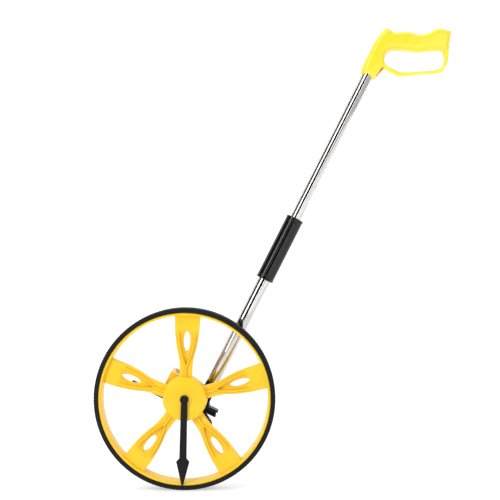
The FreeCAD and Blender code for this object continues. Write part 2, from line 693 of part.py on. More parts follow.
def bearing_spacer():
    """The tube that keeps the two bearings apart."""
    return lift(pipe(SPACER_R, AXLE_R, BEARING_FRONT + BEARING_W + 0.1, BEARING_REAR - 0.1))


def flange_screws():
    """Two screws that hold the counter case to its flange."""
    tip = BOX_X[1] - 3.5
    screws = []
    for z in FLANGE_SCREW_Z:
        shank = Part.makeCylinder(FLANGE_SCREW_R, FLANGE_X + 1 - tip, vec(tip, FLANGE_SCREW_Y, z), vec(1, 0, 0))
        head = Part.makeCylinder(2 * FLANGE_SCREW_R, 1.8, vec(FLANGE_X, FLANGE_SCREW_Y, z), vec(1, 0, 0))
        screws.append(shank.fuse(head).removeSplitter())
    return lean(Part.makeCompound(screws))


def foot_core(reach):
    """The narrowed end of the leg's bar, inside its rubber tip."""
    start = LEG_TIP_X + (LEG_BAR_Z[1] - LEG_BAR_Z[0]) / 2
    return block((start, LEG_TIP_X + FOOT_LONG + reach), inner(LEG_Y, FOOT_CORE), inner(LEG_BAR_Z, FOOT_CORE))


def stand_leg():
    """The folding stand leg: eye with a stop heel, and a flat bar narrowed for its rubber tip."""
    eye = rod(EYE_R, LEG_Y[0], LEG_Y[1], PIVOT_X, PIVOT_Z)
    bar = block((LEG_TIP_X + FOOT_LONG, PIVOT_X), LEG_Y, LEG_BAR_Z)
    core = foot_core(1.0)
    web = plate([(PIVOT_X, LEG_BAR_Z[1]), (PIVOT_X - 10, LEG_BAR_Z[1]), (PIVOT_X - 32, LEG_BAR_Z[0]),
                 (PIVOT_X - 9, PIVOT_Z - 7)], LEG_Y[0], LEG_Y[1])
    heel_dir = math.radians(HEEL_ANGLE)
    across = heel_dir + math.pi / 2
    heel_points = []
    for reach, side in ((0, -4), (HEEL_REACH, -3), (HEEL_REACH, 3), (0, 4)):
        heel_points.append((PIVOT_X + reach * math.cos(heel_dir) + side * math.cos(across),
                            PIVOT_Z + reach * math.sin(heel_dir) + side * math.sin(across)))
    heel = plate(heel_points, LEG_Y[0], LEG_Y[1])
    body = joined([eye, bar, core, web, heel])
    return lean(body.cut(rod(BOLT_R + FIT, 0, 60, PIVOT_X, PIVOT_Z)))


def stand_foot():
    """The rubber tip moulded round the bar's narrowed end, with a rounded nose."""
    height = LEG_BAR_Z[1] - LEG_BAR_Z[0]
    middle = (LEG_BAR_Z[0] + LEG_BAR_Z[1]) / 2
    tip = block((LEG_TIP_X + height / 2, LEG_TIP_X + FOOT_LONG), LEG_Y, LEG_BAR_Z)
    nose = rod(height / 2, LEG_Y[0], LEG_Y[1], LEG_TIP_X + height / 2, middle)
    return lean(joined([tip, nose]).cut(foot_core(1.0)))


def stand_bolt():
    """The leg's pivot bolt with a domed head."""
    head = turned([(0, 15.6), (4.2, 15.9), (6.4, 17.2), (6.4, LEG_Y[0] - 0.1), (BOLT_R, LEG_Y[0] - 0.1),
                   (BOLT_R, 45.4), (0, 45.4)])
    head.translate(vec(PIVOT_X, 0, PIVOT_Z))
    return lean(head)


def stand_washer():
    return lean(pipe(STAND_WASHER_R, BOLT_R, LEG_Y[1] + 0.1, EAR_Y[0], PIVOT_X, PIVOT_Z))


def stand_nut():
    return lean(hexagon(NUT_ACROSS, EAR_Y[1], EAR_Y[1] + NUT_THICK, PIVOT_X, PIVOT_Z, BOLT_R))


# ---------------------------------------------------------------- tubes and lock

def stem_tube(outer, inner_r, z0, z1):
    """A tube on the stem's axis."""
    tube = Part.makeCylinder(outer, z1 - z0, vec(TUBE_X, TUBE_Y, z0))
    return tube.cut(Part.makeCylinder(inner_r, z1 - z0 + 2, vec(TUBE_X, TUBE_Y, z0 - 1)))


def lower_tube():
    tube = stem_tube(LOWER_R, LOWER_R - LOWER_WALL, LOWER_FROM, LOWER_TO)
    return lean(tube.cut(rod(TUBE_SCREW_R, TUBE_Y, 60.0, TUBE_X, TUBE_SCREW_Z)))


def tube_screw():
    """The screw that holds the tube on its spigot, from behind."""
    face = TUBE_Y + LOWER_R + 0.2
    shank = rod(TUBE_SCREW_R, TUBE_Y + 2.0, face + 0.2, TUBE_X, TUBE_SCREW_Z)
    head = rod(3.4, face, face + 2.0, TUBE_X, TUBE_SCREW_Z)
    return lean(joined([shank, head]))


def upper_tube():
    return lean(stem_tube(UPPER_R, UPPER_R - UPPER_WALL, UPPER_FROM, UPPER_TO))


def tube_guide():
    """The plastic guide in the upper tube's lower end."""
    plug = Part.makeCylinder(UPPER_R - UPPER_WALL, 18.0, vec(TUBE_X, TUBE_Y, UPPER_FROM))
    flange = Part.makeCylinder(LOWER_R - LOWER_WALL - 0.06, 6.0, vec(TUBE_X, TUBE_Y, UPPER_FROM - 6.0))
    bore = Part.makeCylinder(5.5, 40, vec(TUBE_X, TUBE_Y, UPPER_FROM - 8))
    return lean(plug.fuse(flange).cut(bore).removeSplitter())


def lock_collet():
    """The slotted clamping ring on top of the lower tube."""
    z0 = LOWER_TO
    ring = stem_tube(LOWER_R + 1.0, UPPER_R + 0.05, z0, z0 + 14.0)
    skirt = stem_tube(LOWER_R + 1.0, LOWER_R, z0 - 20.0, z0)
    body = joined([ring, skirt])
    for k in range(3):
        gap = block((TUBE_X, TUBE_X + 20), (TUBE_Y - 0.8, TUBE_Y + 0.8), (z0 + 2.0, z0 + 16))
        gap.rotate(vec(TUBE_X, TUBE_Y, 0), vec(0, 0, 1), 120 * k + 60)
        body = body.cut(gap)
    return lean(body)


def lock_sleeve():
    """The long twist sleeve: fluted body with a low flange at each end."""
    length = SLEEVE_TO - SLEEVE_FROM
    flange = 5.0
    body = Part.makeCylinder(SLEEVE_R - 0.4, length, vec(TUBE_X, TUBE_Y, SLEEVE_FROM))
    body = body.makeFillet(0.8, [e for e in body.Edges if len(e.Vertexes) == 1])
    for k in range(SLEEVE_FLUTES):
        angle = 2 * math.pi * k / SLEEVE_FLUTES
        x = TUBE_X + (SLEEVE_R + 1.1) * math.cos(angle)
        y = TUBE_Y + (SLEEVE_R + 1.1) * math.sin(angle)
        body = body.cut(Part.makeCylinder(2.1, length - 2 * flange, vec(x, y, SLEEVE_FROM + flange)))
    for z in (SLEEVE_FROM, SLEEVE_TO - flange + 1.5):
        lip = Part.makeCylinder(SLEEVE_R + 0.1, flange - 1.5, vec(TUBE_X, TUBE_Y, z))
        body = body.fuse(lip.makeFillet(0.7, [e for e in lip.Edges if len(e.Vertexes) == 1]))
    body = body.cut(Part.makeCylinder(UPPER_R + 0.3, length + 2, vec(TUBE_X, TUBE_Y, SLEEVE_FROM - 1)))
    body = body.cut(Part.makeCylinder(LOWER_R + 1.05, LOWER_TO + 14.5 - SLEEVE_FROM - 8,
                                      vec(TUBE_X, TUBE_Y, SLEEVE_FROM + 8)))
    body = body.cut(Part.makeCylinder(LOWER_R + 0.05, 10, vec(TUBE_X, TUBE_Y, SLEEVE_FROM - 1)))
    return lean(body.removeSplitter())


# ---------------------------------------------------------------- grip

def tube_point(along, across):
    """A point of the grip's level frame, from its place along and across the tube."""
    angle = math.radians(LEAN)
    x = along * math.sin(angle) + (TUBE_X + across) * math.cos(angle)
    z = along * math.cos(angle) - (TUBE_X + across) * math.sin(angle) + WHEEL_R
    return (x - GRIP_X, z - GRIP_Z)


def grip_wire():
    """The grip's closed silhouette: socket, thumb horn, palm top, tail and guard."""
    rear = [tube_point(SOCKET_FROM, -SOCKET_R)] + list(GRIP_REAR)
    top = [rear[-1]] + list(GRIP_TOP)
    tail = [top[-1]] + list(GRIP_TAIL)
    guard = [tail[-1]] + list(GRIP_GUARD)
    front = tube_point(SOCKET_FROM, SOCKET_R)
    edges = [curve(run, 0) for run in (rear, top, tail, guard)]
    edges.append(Part.makeLine(vec(guard[-1][0], 0, guard[-1][1]), vec(front[0], 0, front[1])))
    edges.append(Part.makeLine(vec(front[0], 0, front[1]), vec(rear[0][0], 0, rear[0][1])))
    return Part.Wire(Part.__sortEdges__(edges))


def loop_wire():
    """The finger loop."""
    spline = Part.BSplineCurve()
    spline.interpolate(Points=[vec(x, 0, z) for x, z in LOOP], PeriodicFlag=True)
    return Part.Wire([spline.toShape()])


def grip_half(side):
    """One moulded half of the grip; side is -1 in front and 1 behind."""
    depth = vec(0, side * GRIP_HALF, 0)
    front, back = TUBE_Y - GRIP_SCREW_HALF, TUBE_Y + GRIP_SCREW_HALF
    body = Part.Face(grip_wire()).extrude(depth)
    soft = [e for e in body.Edges if all(abs(v.Y - side * GRIP_HALF) < 0.01 for v in e.Vertexes)]
    loop = Part.Face(loop_wire())
    body = body.makeChamfer(GRIP_SOFT, soft).cut(loop.extrude(depth))
    inside = side * (GRIP_HALF - GRIP_WALL)
    hollow = plate(POCKET, min(0, inside) - 1, max(0, inside) + 1)
    for x, z in GRIP_SCREWS:
        hollow = hollow.cut(rod(GRIP_POST_R, -GRIP_HALF, GRIP_HALF, x, z))
    body.translate(vec(GRIP_X, TUBE_Y, GRIP_Z))
    hollow.translate(vec(GRIP_X, TUBE_Y, GRIP_Z))
    socket = lean(Part.makeCylinder(UPPER_R + GRIP_WALL, 72.0, vec(TUBE_X, TUBE_Y, SOCKET_FROM - 4)))
    body = body.cut(hollow.cut(socket))
    body = body.cut(lean(Part.makeCylinder(UPPER_R, 66.0, vec(TUBE_X, TUBE_Y, SOCKET_FROM - 4))))
    for x, z in GRIP_SCREWS:
        body = body.cut(rod(GRIP_SCREW_R, front, back, GRIP_X + x, GRIP_Z + z))
        if side > 0:
            body = body.cut(rod(3.4, back, back + 21, GRIP_X + x, GRIP_Z + z))
    return body


def grip_screws():
    """The screws that close the grip, their heads sunk in the rear half."""
    front, back = TUBE_Y - GRIP_SCREW_HALF, TUBE_Y + GRIP_SCREW_HALF
    screws = []
    for x, z in GRIP_SCREWS:
        shank = rod(GRIP_SCREW_R, front, back, GRIP_X + x, GRIP_Z + z)
        head = rod(3.2, back, back + 2.2, GRIP_X + x, GRIP_Z + z)
        screws.append(shank.fuse(head).removeSplitter())
    return Part.makeCompound(screws)


def main():
    os.makedirs("parts", exist_ok=True)
    for name, make in (
        ("tyre", tyre), ("wheel", wheel), ("wheel_gear", wheel_gear), ("axle", axle),
        ("axle_circlip", axle_circlip), ("axle_washer", axle_washer), ("axle_nut", axle_nut),
        ("bearing_spacer", bearing_spacer), ("pointer", pointer), ("counter_housing", counter_housing),
        ("counter_cover", counter_cover), ("counter_window", counter_window),
        ("counter_screws", counter_screws), ("counter_shaft", counter_shaft), ("drum_gear", drum_gear),
        ("idler_gear", idler_gear), ("idler_pin", idler_pin), ("carry_shaft", carry_shaft),
        ("reset_knob", reset_knob), ("frame_bracket", frame_bracket), ("flange_screws", flange_screws),
        ("stand_leg", stand_leg), ("stand_foot", stand_foot), ("stand_bolt", stand_bolt),
        ("stand_washer", stand_washer), ("stand_nut", stand_nut), ("lower_tube", lower_tube),
        ("tube_screw", tube_screw), ("upper_tube", upper_tube), ("tube_guide", tube_guide),
        ("lock_collet", lock_collet), ("lock_sleeve", lock_sleeve), ("grip_screws", grip_screws),
    ):
        save(name, make())
    save("bearing_front", bearing(BEARING_FRONT))
    save("bearing_rear", bearing(BEARING_REAR))
    save("grip_front", grip_half(-1))
    save("grip_back", grip_half(1))
    for n in range(DRUM_COUNT):
        save("digit_drum_%d" % (n + 1), digit_drum(n))
        if n:
            save("carry_pinion_%d" % n, carry_pinion(n))


main()
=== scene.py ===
"""Measuring wheel: detailed surfaces, materials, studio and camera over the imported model."""

import bpy
import bmesh
import json
import math
import numpy as np
from mathutils import Matrix, Vector


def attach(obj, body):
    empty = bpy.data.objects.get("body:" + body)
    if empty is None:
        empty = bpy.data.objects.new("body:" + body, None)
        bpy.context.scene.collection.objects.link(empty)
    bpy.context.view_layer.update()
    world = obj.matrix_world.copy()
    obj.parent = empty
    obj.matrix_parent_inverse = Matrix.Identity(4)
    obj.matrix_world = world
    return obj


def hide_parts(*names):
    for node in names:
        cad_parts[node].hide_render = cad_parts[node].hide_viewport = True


bl_info = {
    "name": "Measuring Wheel",
    "version": (1, 0, 0),
    "blender": (4, 5, 0),
    "location": "View3D > Sidebar > Measuring Wheel",
    "description": "Builds a measuring wheel's surfaces, counter numerals, materials and studio",
    "category": "Object",
}

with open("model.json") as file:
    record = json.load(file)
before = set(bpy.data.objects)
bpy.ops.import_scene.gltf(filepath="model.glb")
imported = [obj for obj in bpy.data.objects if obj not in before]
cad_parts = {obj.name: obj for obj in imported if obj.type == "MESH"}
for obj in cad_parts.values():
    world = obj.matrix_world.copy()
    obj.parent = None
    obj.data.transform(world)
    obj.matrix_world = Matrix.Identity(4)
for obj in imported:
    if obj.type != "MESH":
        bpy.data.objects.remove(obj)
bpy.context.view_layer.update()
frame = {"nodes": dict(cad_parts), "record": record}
MM = 0.001
WHEEL_R = 1.0 / (2 * math.pi)
LEAN = math.radians(26.8)
STEM_MIDDLE = np.array([0.22, 0.04, 0.48])
STEM_ALONG = np.array([math.sin(LEAN), 0.0, math.cos(LEAN)])
STRIP_LONG = 2.6
STRIP_RAISED = 0.45
CARD_SPAN = (-0.5, 1.9)
CAMERA_AT = (0.1144, -1.4, 0.4197)


# ------------------------------------------------------------------ mesh helpers

def stem_to_row(points):
    """Upright stem millimetres (across, depth, along) to row metres, leaned and lifted to the axle."""
    points = np.asarray(points, float)
    x = points[:, 0] * math.cos(LEAN) + points[:, 2] * math.sin(LEAN)
    z = points[:, 2] * math.cos(LEAN) - points[:, 0] * math.sin(LEAN)
    return np.stack([x * MM, points[:, 1] * MM, z * MM + WHEEL_R], 1)


def wheel_to_row(points):
    """Wheel millimetres about the axle to row metres."""
    return np.asarray(points, float) * MM + np.array([0.0, 0.0, WHEEL_R])


def grid_faces(rows, columns, close_rows=True, close_columns=True):
    """Quads of a grid of rows by columns, wrapped in either direction."""
    i = np.arange(rows if close_rows else rows - 1)
    j = np.arange(columns if close_columns else columns - 1)
    i, j = np.meshgrid(i, j, indexing="ij")
    a, b = i % rows, (i + 1) % rows
    c, d = j % columns, (j + 1) % columns
    return np.stack([a * columns + c, b * columns + c, b * columns + d, a * columns + d], -1).reshape(-1, 4)


def make_object(name, points, faces, material, smooth_degrees=35.0, painted_shade=None):
    """A welded mesh object with outward normals and one material, in the row frame.

    The last argument, one value a point of painted shade, is kept as a float attribute for the material.
    """
    mesh = bpy.data.meshes.new(name)
    mesh.from_pydata(np.asarray(points).tolist(), [], np.asarray(faces).tolist())
    if painted_shade is not None:
        # Painted shade: a value per point that the spoke material uses to darken its colour.
        mesh.attributes.new("painted_shade", "FLOAT", "POINT").data.foreach_set("value", painted_shade.astype(np.float32))
    work = bmesh.new()
    work.from_mesh(mesh)
    bmesh.ops.remove_doubles(work, verts=work.verts, dist=2e-6)
    bmesh.ops.dissolve_degenerate(work, edges=work.edges, dist=1e-7)
    open_edges = [e for e in work.edges if e.is_boundary]
    if open_edges:
        bmesh.ops.holes_fill(work, edges=open_edges, sides=0)
    bmesh.ops.recalc_face_normals(work, faces=work.faces)
    work.to_mesh(mesh)
    work.free()
    mesh.polygons.foreach_set("use_smooth", np.ones(len(mesh.polygons), bool))
    mesh.set_sharp_from_angle(angle=math.radians(smooth_degrees))
    piece = bpy.data.objects.new(name, mesh)
    bpy.context.scene.collection.objects.link(piece)
    mesh.materials.append(material)
    return piece


def rounded(corners, radii, steps=5):
    """A closed profile whose corners are replaced by tangent arcs of the given radii."""
    corners = np.asarray(corners, float)
    count = len(corners)
    out = []
    for k in range(count):
        here, before, after = corners[k], corners[k - 1], corners[(k + 1) % count]
        u = (before - here) / np.linalg.norm(before - here)
        v = (after - here) / np.linalg.norm(after - here)
        half = math.acos(float(np.clip(u @ v, -1, 1))) / 2
        radius = radii[k] if isinstance(radii, (list, tuple)) else radii
        if radius <= 0 or half > 1.55:
            out.append(here)
            continue
        back = radius / math.tan(half)
        bisector = (u + v) / np.linalg.norm(u + v)
        centre = here + bisector * radius / math.sin(half)
        start, end = here + u * back - centre, here + v * back - centre
        sweep = math.pi - 2 * half
        for t in np.linspace(0, 1, steps):
            arm = math.sin((1 - t) * sweep) * start + math.sin(t * sweep) * end
            out.append(centre + arm / math.sin(sweep))
    return np.array(out)


def revolve(name, profile, segments, material, to_row=wheel_to_row, along_stem=None, radial=None):
    """A ring swept by a closed (radius, height) profile about the axle, or about the tube with along_stem.

    radial(angle, radius, height) may change the radius, for flutes and tread.
    """
    profile = np.asarray(profile, float)
    angle = np.linspace(0, 2 * math.pi, segments, endpoint=False)
    a, r = np.meshgrid(angle, profile[:, 0], indexing="ij")
    h = np.broadcast_to(profile[:, 1], a.shape)
    if radial is not None:
        r = radial(a, r, h)
    if along_stem is None:
        points = np.stack([r * np.cos(a), h, r * np.sin(a)], -1)
    else:
        points = np.stack([along_stem[0] + r * np.cos(a), along_stem[1] + r * np.sin(a), h], -1)
    faces = grid_faces(segments, len(profile))
    return make_object(name, to_row(points.reshape(-1, 3)), faces, material)


def smoothstep(low, high, x):
    """0 below low and 1 above high, with the cubic 3t^2 - 2t^3 between."""
    t = np.clip((x - low) / (high - low), 0, 1)
    return t * t * (3 - 2 * t)


# ------------------------------------------------------------------ material helpers

class Value:
    """A node socket with arithmetic: each operator adds one Math node."""

    def __init__(self, paint, socket):
        self.paint = paint
        self.socket = socket

    def combine(self, operation, other, swapped=False):
        """This value and another through one Math node, the other first when swapped."""
        left, right = (other, self) if swapped else (self, other)
        return self.paint.value("ShaderNodeMath", {0: left, 1: right}, operation=operation)

    def __add__(self, other):
        return self.combine("ADD", other)

    def __radd__(self, other):
        return self.combine("ADD", other, True)

    def __sub__(self, other):
        return self.combine("SUBTRACT", other)

    def __rsub__(self, other):
        return self.combine("SUBTRACT", other, True)

    def __mul__(self, other):
        return self.combine("MULTIPLY", other)

    def __rmul__(self, other):
        return self.combine("MULTIPLY", other, True)

    def ramp(self, low, high):
        """0 below low and 1 above high, smooth between."""
        return self.paint.value("ShaderNodeMapRange", {"Value": self, "From Min": low, "From Max": high},
                                out="Result", interpolation_type="SMOOTHSTEP")


class Paint:
    """A material under construction, with its Principled shader and Object coordinates."""

    def __init__(self, name, **constants):
        self.material = bpy.data.materials.new(name)
        self.material.use_nodes = True
        self.tree = self.material.node_tree
        self.tree.nodes.clear()
        self.shader = self.node("ShaderNodeBsdfPrincipled")
        output = self.node("ShaderNodeOutputMaterial")
        self.tree.links.new(self.shader.outputs["BSDF"], output.inputs["Surface"])
        self.where = self.node("ShaderNodeTexCoord").outputs["Object"]
        for key, setting in constants.items():
            self.shader.inputs[key.replace("_", " ")].default_value = setting

    def node(self, kind, inputs=None, **settings):
        """Any node by its type, its settings first and then the values or links of its sockets."""
        made = self.tree.nodes.new(kind)
        for key, setting in settings.items():
            setattr(made, key, setting)
        for key, given in (inputs or {}).items():
            given = given.socket if isinstance(given, Value) else given
            if isinstance(given, bpy.types.NodeSocket):
                self.tree.links.new(given, made.inputs[key])
            else:
                made.inputs[key].default_value = given
        return made

    def value(self, kind, inputs=None, out=0, **settings):
        """One output of a new node, wrapped for arithmetic."""
        return Value(self, self.node(kind, inputs, **settings).outputs[out])

    def noise(self, scale, detail=3.0, roughness=0.55, vector=None):
        """Fractal noise over the object, 0 to 1."""
        return self.value("ShaderNodeTexNoise", {"Vector": vector or self.where, "Scale": scale,
                                                 "Detail": detail, "Roughness": roughness}, out="Fac")

    def cells(self, scale):
        """Distance to the nearest cell point."""
        return self.value("ShaderNodeTexVoronoi", {"Vector": self.where, "Scale": scale}, out="Distance")

    def stretched(self, scale):
        """Object coordinates scaled differently along each axis."""
        return self.node("ShaderNodeMapping", {"Vector": self.where, "Scale": scale}).outputs["Vector"]

    def blend(self, factor, first, second):
        """A colour between two."""
        made = self.node("ShaderNodeMix", data_type="RGBA")
        for socket, given in ((made.inputs[0], factor), (made.inputs[6], first), (made.inputs[7], second)):
            given = given.socket if isinstance(given, Value) else given
            if isinstance(given, bpy.types.NodeSocket):
                self.tree.links.new(given, socket)
            elif socket.type == "RGBA":
                socket.default_value = (*given, 1.0)
            else:
                socket.default_value = given
        return made.outputs[2]

    def feed(self, socket, given):
        """Link what varies over the surface to one of the shader's sockets."""
        self.tree.links.new(given.socket if isinstance(given, Value) else given, self.shader.inputs[socket])

    def bump(self, height, strength, distance):
        """Fine relief of the surface from a height."""
        made = self.node("ShaderNodeBump", {"Height": height, "Strength": strength, "Distance": distance})
        self.tree.links.new(made.outputs["Normal"], self.shader.inputs["Normal"])


def moulded(name, colour, deep, rough, coat=0.15, grain=0.25, shine=0.5, painted_shade_colour=None):
    """Moulded plastic: flow clouds in the colour, fine spark grain, scuffs in the roughness, and, where a
    dark colour is given, painted shade mixed into the colour by the mesh's shade attribute.
    """
    paint = Paint(name, Coat_Weight=coat, Coat_Roughness=0.12, IOR=1.5, Specular_IOR_Level=shine)
    flow = paint.noise(14.0, 2.0)
    speck = paint.noise(900.0, 2.0)
    tint = paint.blend(flow.ramp(0.35, 0.75), colour, deep)
    # Painted shade: the colour is drawn towards a darker one where the mesh's attribute is high, standing in
    # for shade in the spoke recesses.
    if painted_shade_colour:
        painted_shade = paint.value("ShaderNodeAttribute", out="Fac", attribute_name="painted_shade")
        tint = paint.blend(painted_shade * 0.75, tint, painted_shade_colour)
    paint.feed("Base Color", tint)
    scuff = paint.noise(60.0, 6.0, 0.7, paint.stretched((1.0, 1.0, 5.0))).ramp(0.6, 0.75)
    paint.feed("Roughness", rough + (flow - 0.5) * 0.08 + scuff * 0.12)
    paint.bump(speck + flow * 0.6, grain, 0.00006)
    return paint.material


def rubber(name, colour, dust):
    """Rubber: matt black with a dusty bloom, and fine pits."""
    paint = Paint(name, Specular_IOR_Level=0.2)
    bloom = paint.noise(22.0, 5.0, 0.65)
    pits = paint.cells(650.0)
    paint.feed("Base Color", paint.blend(bloom.ramp(0.5, 0.85) * 0.5, colour, dust))
    paint.feed("Roughness", 0.52 + bloom * 0.22)
    paint.bump(pits.ramp(0.1, 0.6) + paint.noise(300.0), 0.35, 0.00012)
    return paint.material


def chrome(name):
    """Bright chrome tube: mirror finish with a faint haze, drawn lines and fingerprints."""
    paint = Paint(name, Metallic=1.0)
    lines = paint.noise(40.0, 4.0, 0.6, paint.stretched((60.0, 60.0, 0.4)))
    haze = paint.noise(18.0, 3.0)
    paint.feed("Base Color", paint.blend(haze.ramp(0.3, 0.8), (0.60, 0.59, 0.58), (0.52, 0.51, 0.50)))
    paint.feed("Roughness", 0.05 + haze.ramp(0.55, 0.8) * 0.05 + lines * 0.02)
    paint.bump(lines, 0.03, 0.00002)
    return paint.material


def plated(name, colour, rough):
    """Zinc-plated or bare steel: turned lines, cloudy plating and small nicks."""
    paint = Paint(name, Metallic=1.0)
    cloud = paint.noise(120.0, 4.0)
    turned = paint.noise(500.0, 3.0, 0.5, paint.stretched((0.3, 6.0, 0.3)))
    paint.feed("Base Color", paint.blend(cloud.ramp(0.3, 0.8), colour, [c * 0.75 for c in colour]))
    paint.feed("Roughness", rough + turned * 0.15)
    paint.bump(turned + cloud.ramp(0.7, 0.8) * 0.5, 0.15, 0.00005)
    return paint.material


def powder_coat(name, colour):
    """Black powder coat: orange-peel surface with dull patches."""
    paint = Paint(name, Specular_IOR_Level=0.5)
    peel = paint.noise(700.0, 1.0)
    patch = paint.noise(30.0, 4.0)
    paint.feed("Base Color", paint.blend(patch.ramp(0.4, 0.9) * 0.6, colour, [c + 0.02 for c in colour]))
    paint.feed("Roughness", 0.34 + patch * 0.2)
    paint.bump(peel, 0.3, 0.0001)
    return paint.material


def lens(name):
    """Clear acrylic with faint wipe marks."""
    paint = Paint(name, Base_Color=(0.95, 0.97, 0.97, 1.0), IOR=1.49)
    wipes = paint.noise(80.0, 5.0, 0.7, paint.stretched((1.0, 6.0, 1.0)))
    paint.feed("Alpha", 0.16 + wipes.ramp(0.5, 0.9) * 0.1)
    paint.feed("Roughness", 0.04 + wipes * 0.06)
    return paint.material


def seamless(name):
    """The pale studio sweep, lit a little from behind its paper."""
    paint = Paint(name, Specular_IOR_Level=0.2, Emission_Strength=0.5)
    mottle = paint.noise(3.0, 3.0)
    pale = paint.blend(mottle, (0.66, 0.66, 0.66), (0.69, 0.69, 0.69))
    paint.feed("Base Color", pale)
    paint.feed("Emission Color", paint.blend(mottle, (0.98, 0.98, 0.98), (1.0, 1.0, 1.0)))
    paint.feed("Roughness", 0.7 + mottle * 0.1)
    return paint.material


WHEEL_YELLOW = (0.93, 0.60, 0.016)
WHEEL_DEEP = (0.90, 0.55, 0.013)

FINISHES = {
    "wheel_yellow": lambda: moulded("wheel_yellow_finish", WHEEL_YELLOW, WHEEL_DEEP, 0.36, 0.05, shine=0.35),
    # The spokes' darker orange is painted shade beside the ridges and in the pockets.
    "spoke_yellow": lambda: moulded("spoke_yellow_finish", WHEEL_YELLOW, WHEEL_DEEP, 0.36, 0.05, shine=0.35,
                                    painted_shade_colour=(0.80, 0.40, 0.006)),
    "case_yellow": lambda: moulded("case_yellow_finish", (0.95, 0.6, 0.012), (0.92, 0.55, 0.01), 0.34),
    "grip_yellow": lambda: moulded("grip_yellow_finish", (0.97, 0.76, 0.035), (0.95, 0.71, 0.025),
                                   0.24, 0.3, 0.15),
    "black_plastic": lambda: moulded("black_plastic_finish", (0.004, 0.004, 0.005), (0.008, 0.008, 0.009),
                                     0.34, 0.0, 0.25, 0.2),
    "black_gloss": lambda: moulded("black_gloss_finish", (0.002, 0.002, 0.0025), (0.003, 0.003, 0.004),
                                   0.055, 0.0, 0.05, 0.36),
    "gear_white": lambda: moulded("gear_white_finish", (0.8, 0.79, 0.72), (0.76, 0.75, 0.68), 0.4),
    "drum_black": lambda: moulded("drum_black_finish", (0.015, 0.015, 0.016), (0.022, 0.022, 0.024), 0.5),
    "drum_white": lambda: moulded("drum_white_finish", (0.82, 0.82, 0.8), (0.78, 0.78, 0.76), 0.5),
    "ink_white": lambda: moulded("ink_white_finish", (0.85, 0.85, 0.83), (0.8, 0.8, 0.78), 0.55),
    "ink_red": lambda: moulded("ink_red_finish", (0.6, 0.02, 0.015), (0.5, 0.02, 0.015), 0.55),
    "tyre_rubber": lambda: rubber("tyre_rubber_finish", (0.007, 0.007, 0.008), (0.022, 0.021, 0.021)),
    "foot_rubber": lambda: rubber("foot_rubber_finish", (0.014, 0.014, 0.014), (0.032, 0.031, 0.03)),
    "chrome": lambda: chrome("chrome_finish"),
    "steel": lambda: plated("steel_finish", (0.62, 0.62, 0.64), 0.22),
    "black_steel": lambda: powder_coat("black_steel_finish", (0.012, 0.012, 0.012)),
    "lens": lambda: lens("lens_finish"),
}


def finish_of(slot):
    """The finish of a material slot, made once."""
    name = slot + "_finish"
    return bpy.data.materials.get(name) or FINISHES[slot]()


# ------------------------------------------------------------------ wheel

SPOKES = 5
SPOKE_STEP = 72.0
HOLE_MIDDLE = 100.5
HOLE_REACH = 17.5
HOLE_HALF = 5.8


def spoke_half_width(r):
    """Half the spoke's width at each radius, flaring from the drum to the rim."""
    return np.interp(r, [30, 58, 67, 76, 85, 94, 103, 111, 120, 138, 150],
                     [11.2, 11.2, 12.2, 14.0, 16.5, 18.4, 19.7, 20.7, 21.2, 21.9, 22.9])


def ridge_place(r):
    """How far each fork of the ridge stands from the middle line: a lens that opens at 57 mm."""
    t = np.clip((r - 57.0) / 68.0, 0, 1)
    return 14.8 * np.sin(t * math.pi / 2) ** 0.72


def spoke_front(r, w, props):
    """Front height of the spoke: plate, forked ridge, leaf pocket sloping to the hole, and outer pad."""
    place = ridge_place(r)
    fork = np.abs(w - place)
    half = props.ridge_width / 2 / MM
    ridge = 1 - smoothstep(half - 0.5, half + 0.7, fork)
    pad = smoothstep(112.0, 126.0, r + 0.35 * np.abs(w - 6.0))
    edge = spoke_half_width(r)
    strip = 1 - smoothstep(place, edge, w)
    inside = smoothstep(0.0, 1.0, (place - w) / np.maximum(place, 1.0))
    low = -5.4 - 0.9 * strip + 2.9 * inside * (1 - pad)
    raised = np.maximum(ridge * (r > 30), pad)
    height = low * (1 - raised) + props.raised_front / MM * raised
    lip = np.clip((w - (edge - 1.2)) / 1.2, 0, 1)
    return height + 1.1 * (1 - np.sqrt(1 - lip * lip * 0.98))


def spoke_recess(r, w, props):
    """Painted shade beside the ridge, 0 to 1: strongest at the ridge's foot, faint in the pocket; it darkens
    the spoke's colour where shade would fall.
    """
    place = ridge_place(r)
    half = props.ridge_width / 2 / MM
    foot = np.abs(w - place) - half
    near = np.exp(-((np.clip(foot, 0, None) - 0.5) / 1.3) ** 2) * (foot > -0.3)
    pocket = 0.3 * (w < place) * (r > 57)
    return np.clip(near + pocket, 0, 1) * (1 - smoothstep(104.0, 124.0, r)) * (r > 38)


def spoke_back(r, w, hole):
    """Back height: a thin web with a rib along each edge and round the hole."""
    edge = spoke_half_width(r) - w
    rib = 1 - smoothstep(2.0, 2.9, edge)
    ring = 1 - smoothstep(2.0, 2.9, w - hole)
    near = ((r > 81) & (r < 120)) * 1.0
    return 5.0 * np.maximum(rib, ring * near)


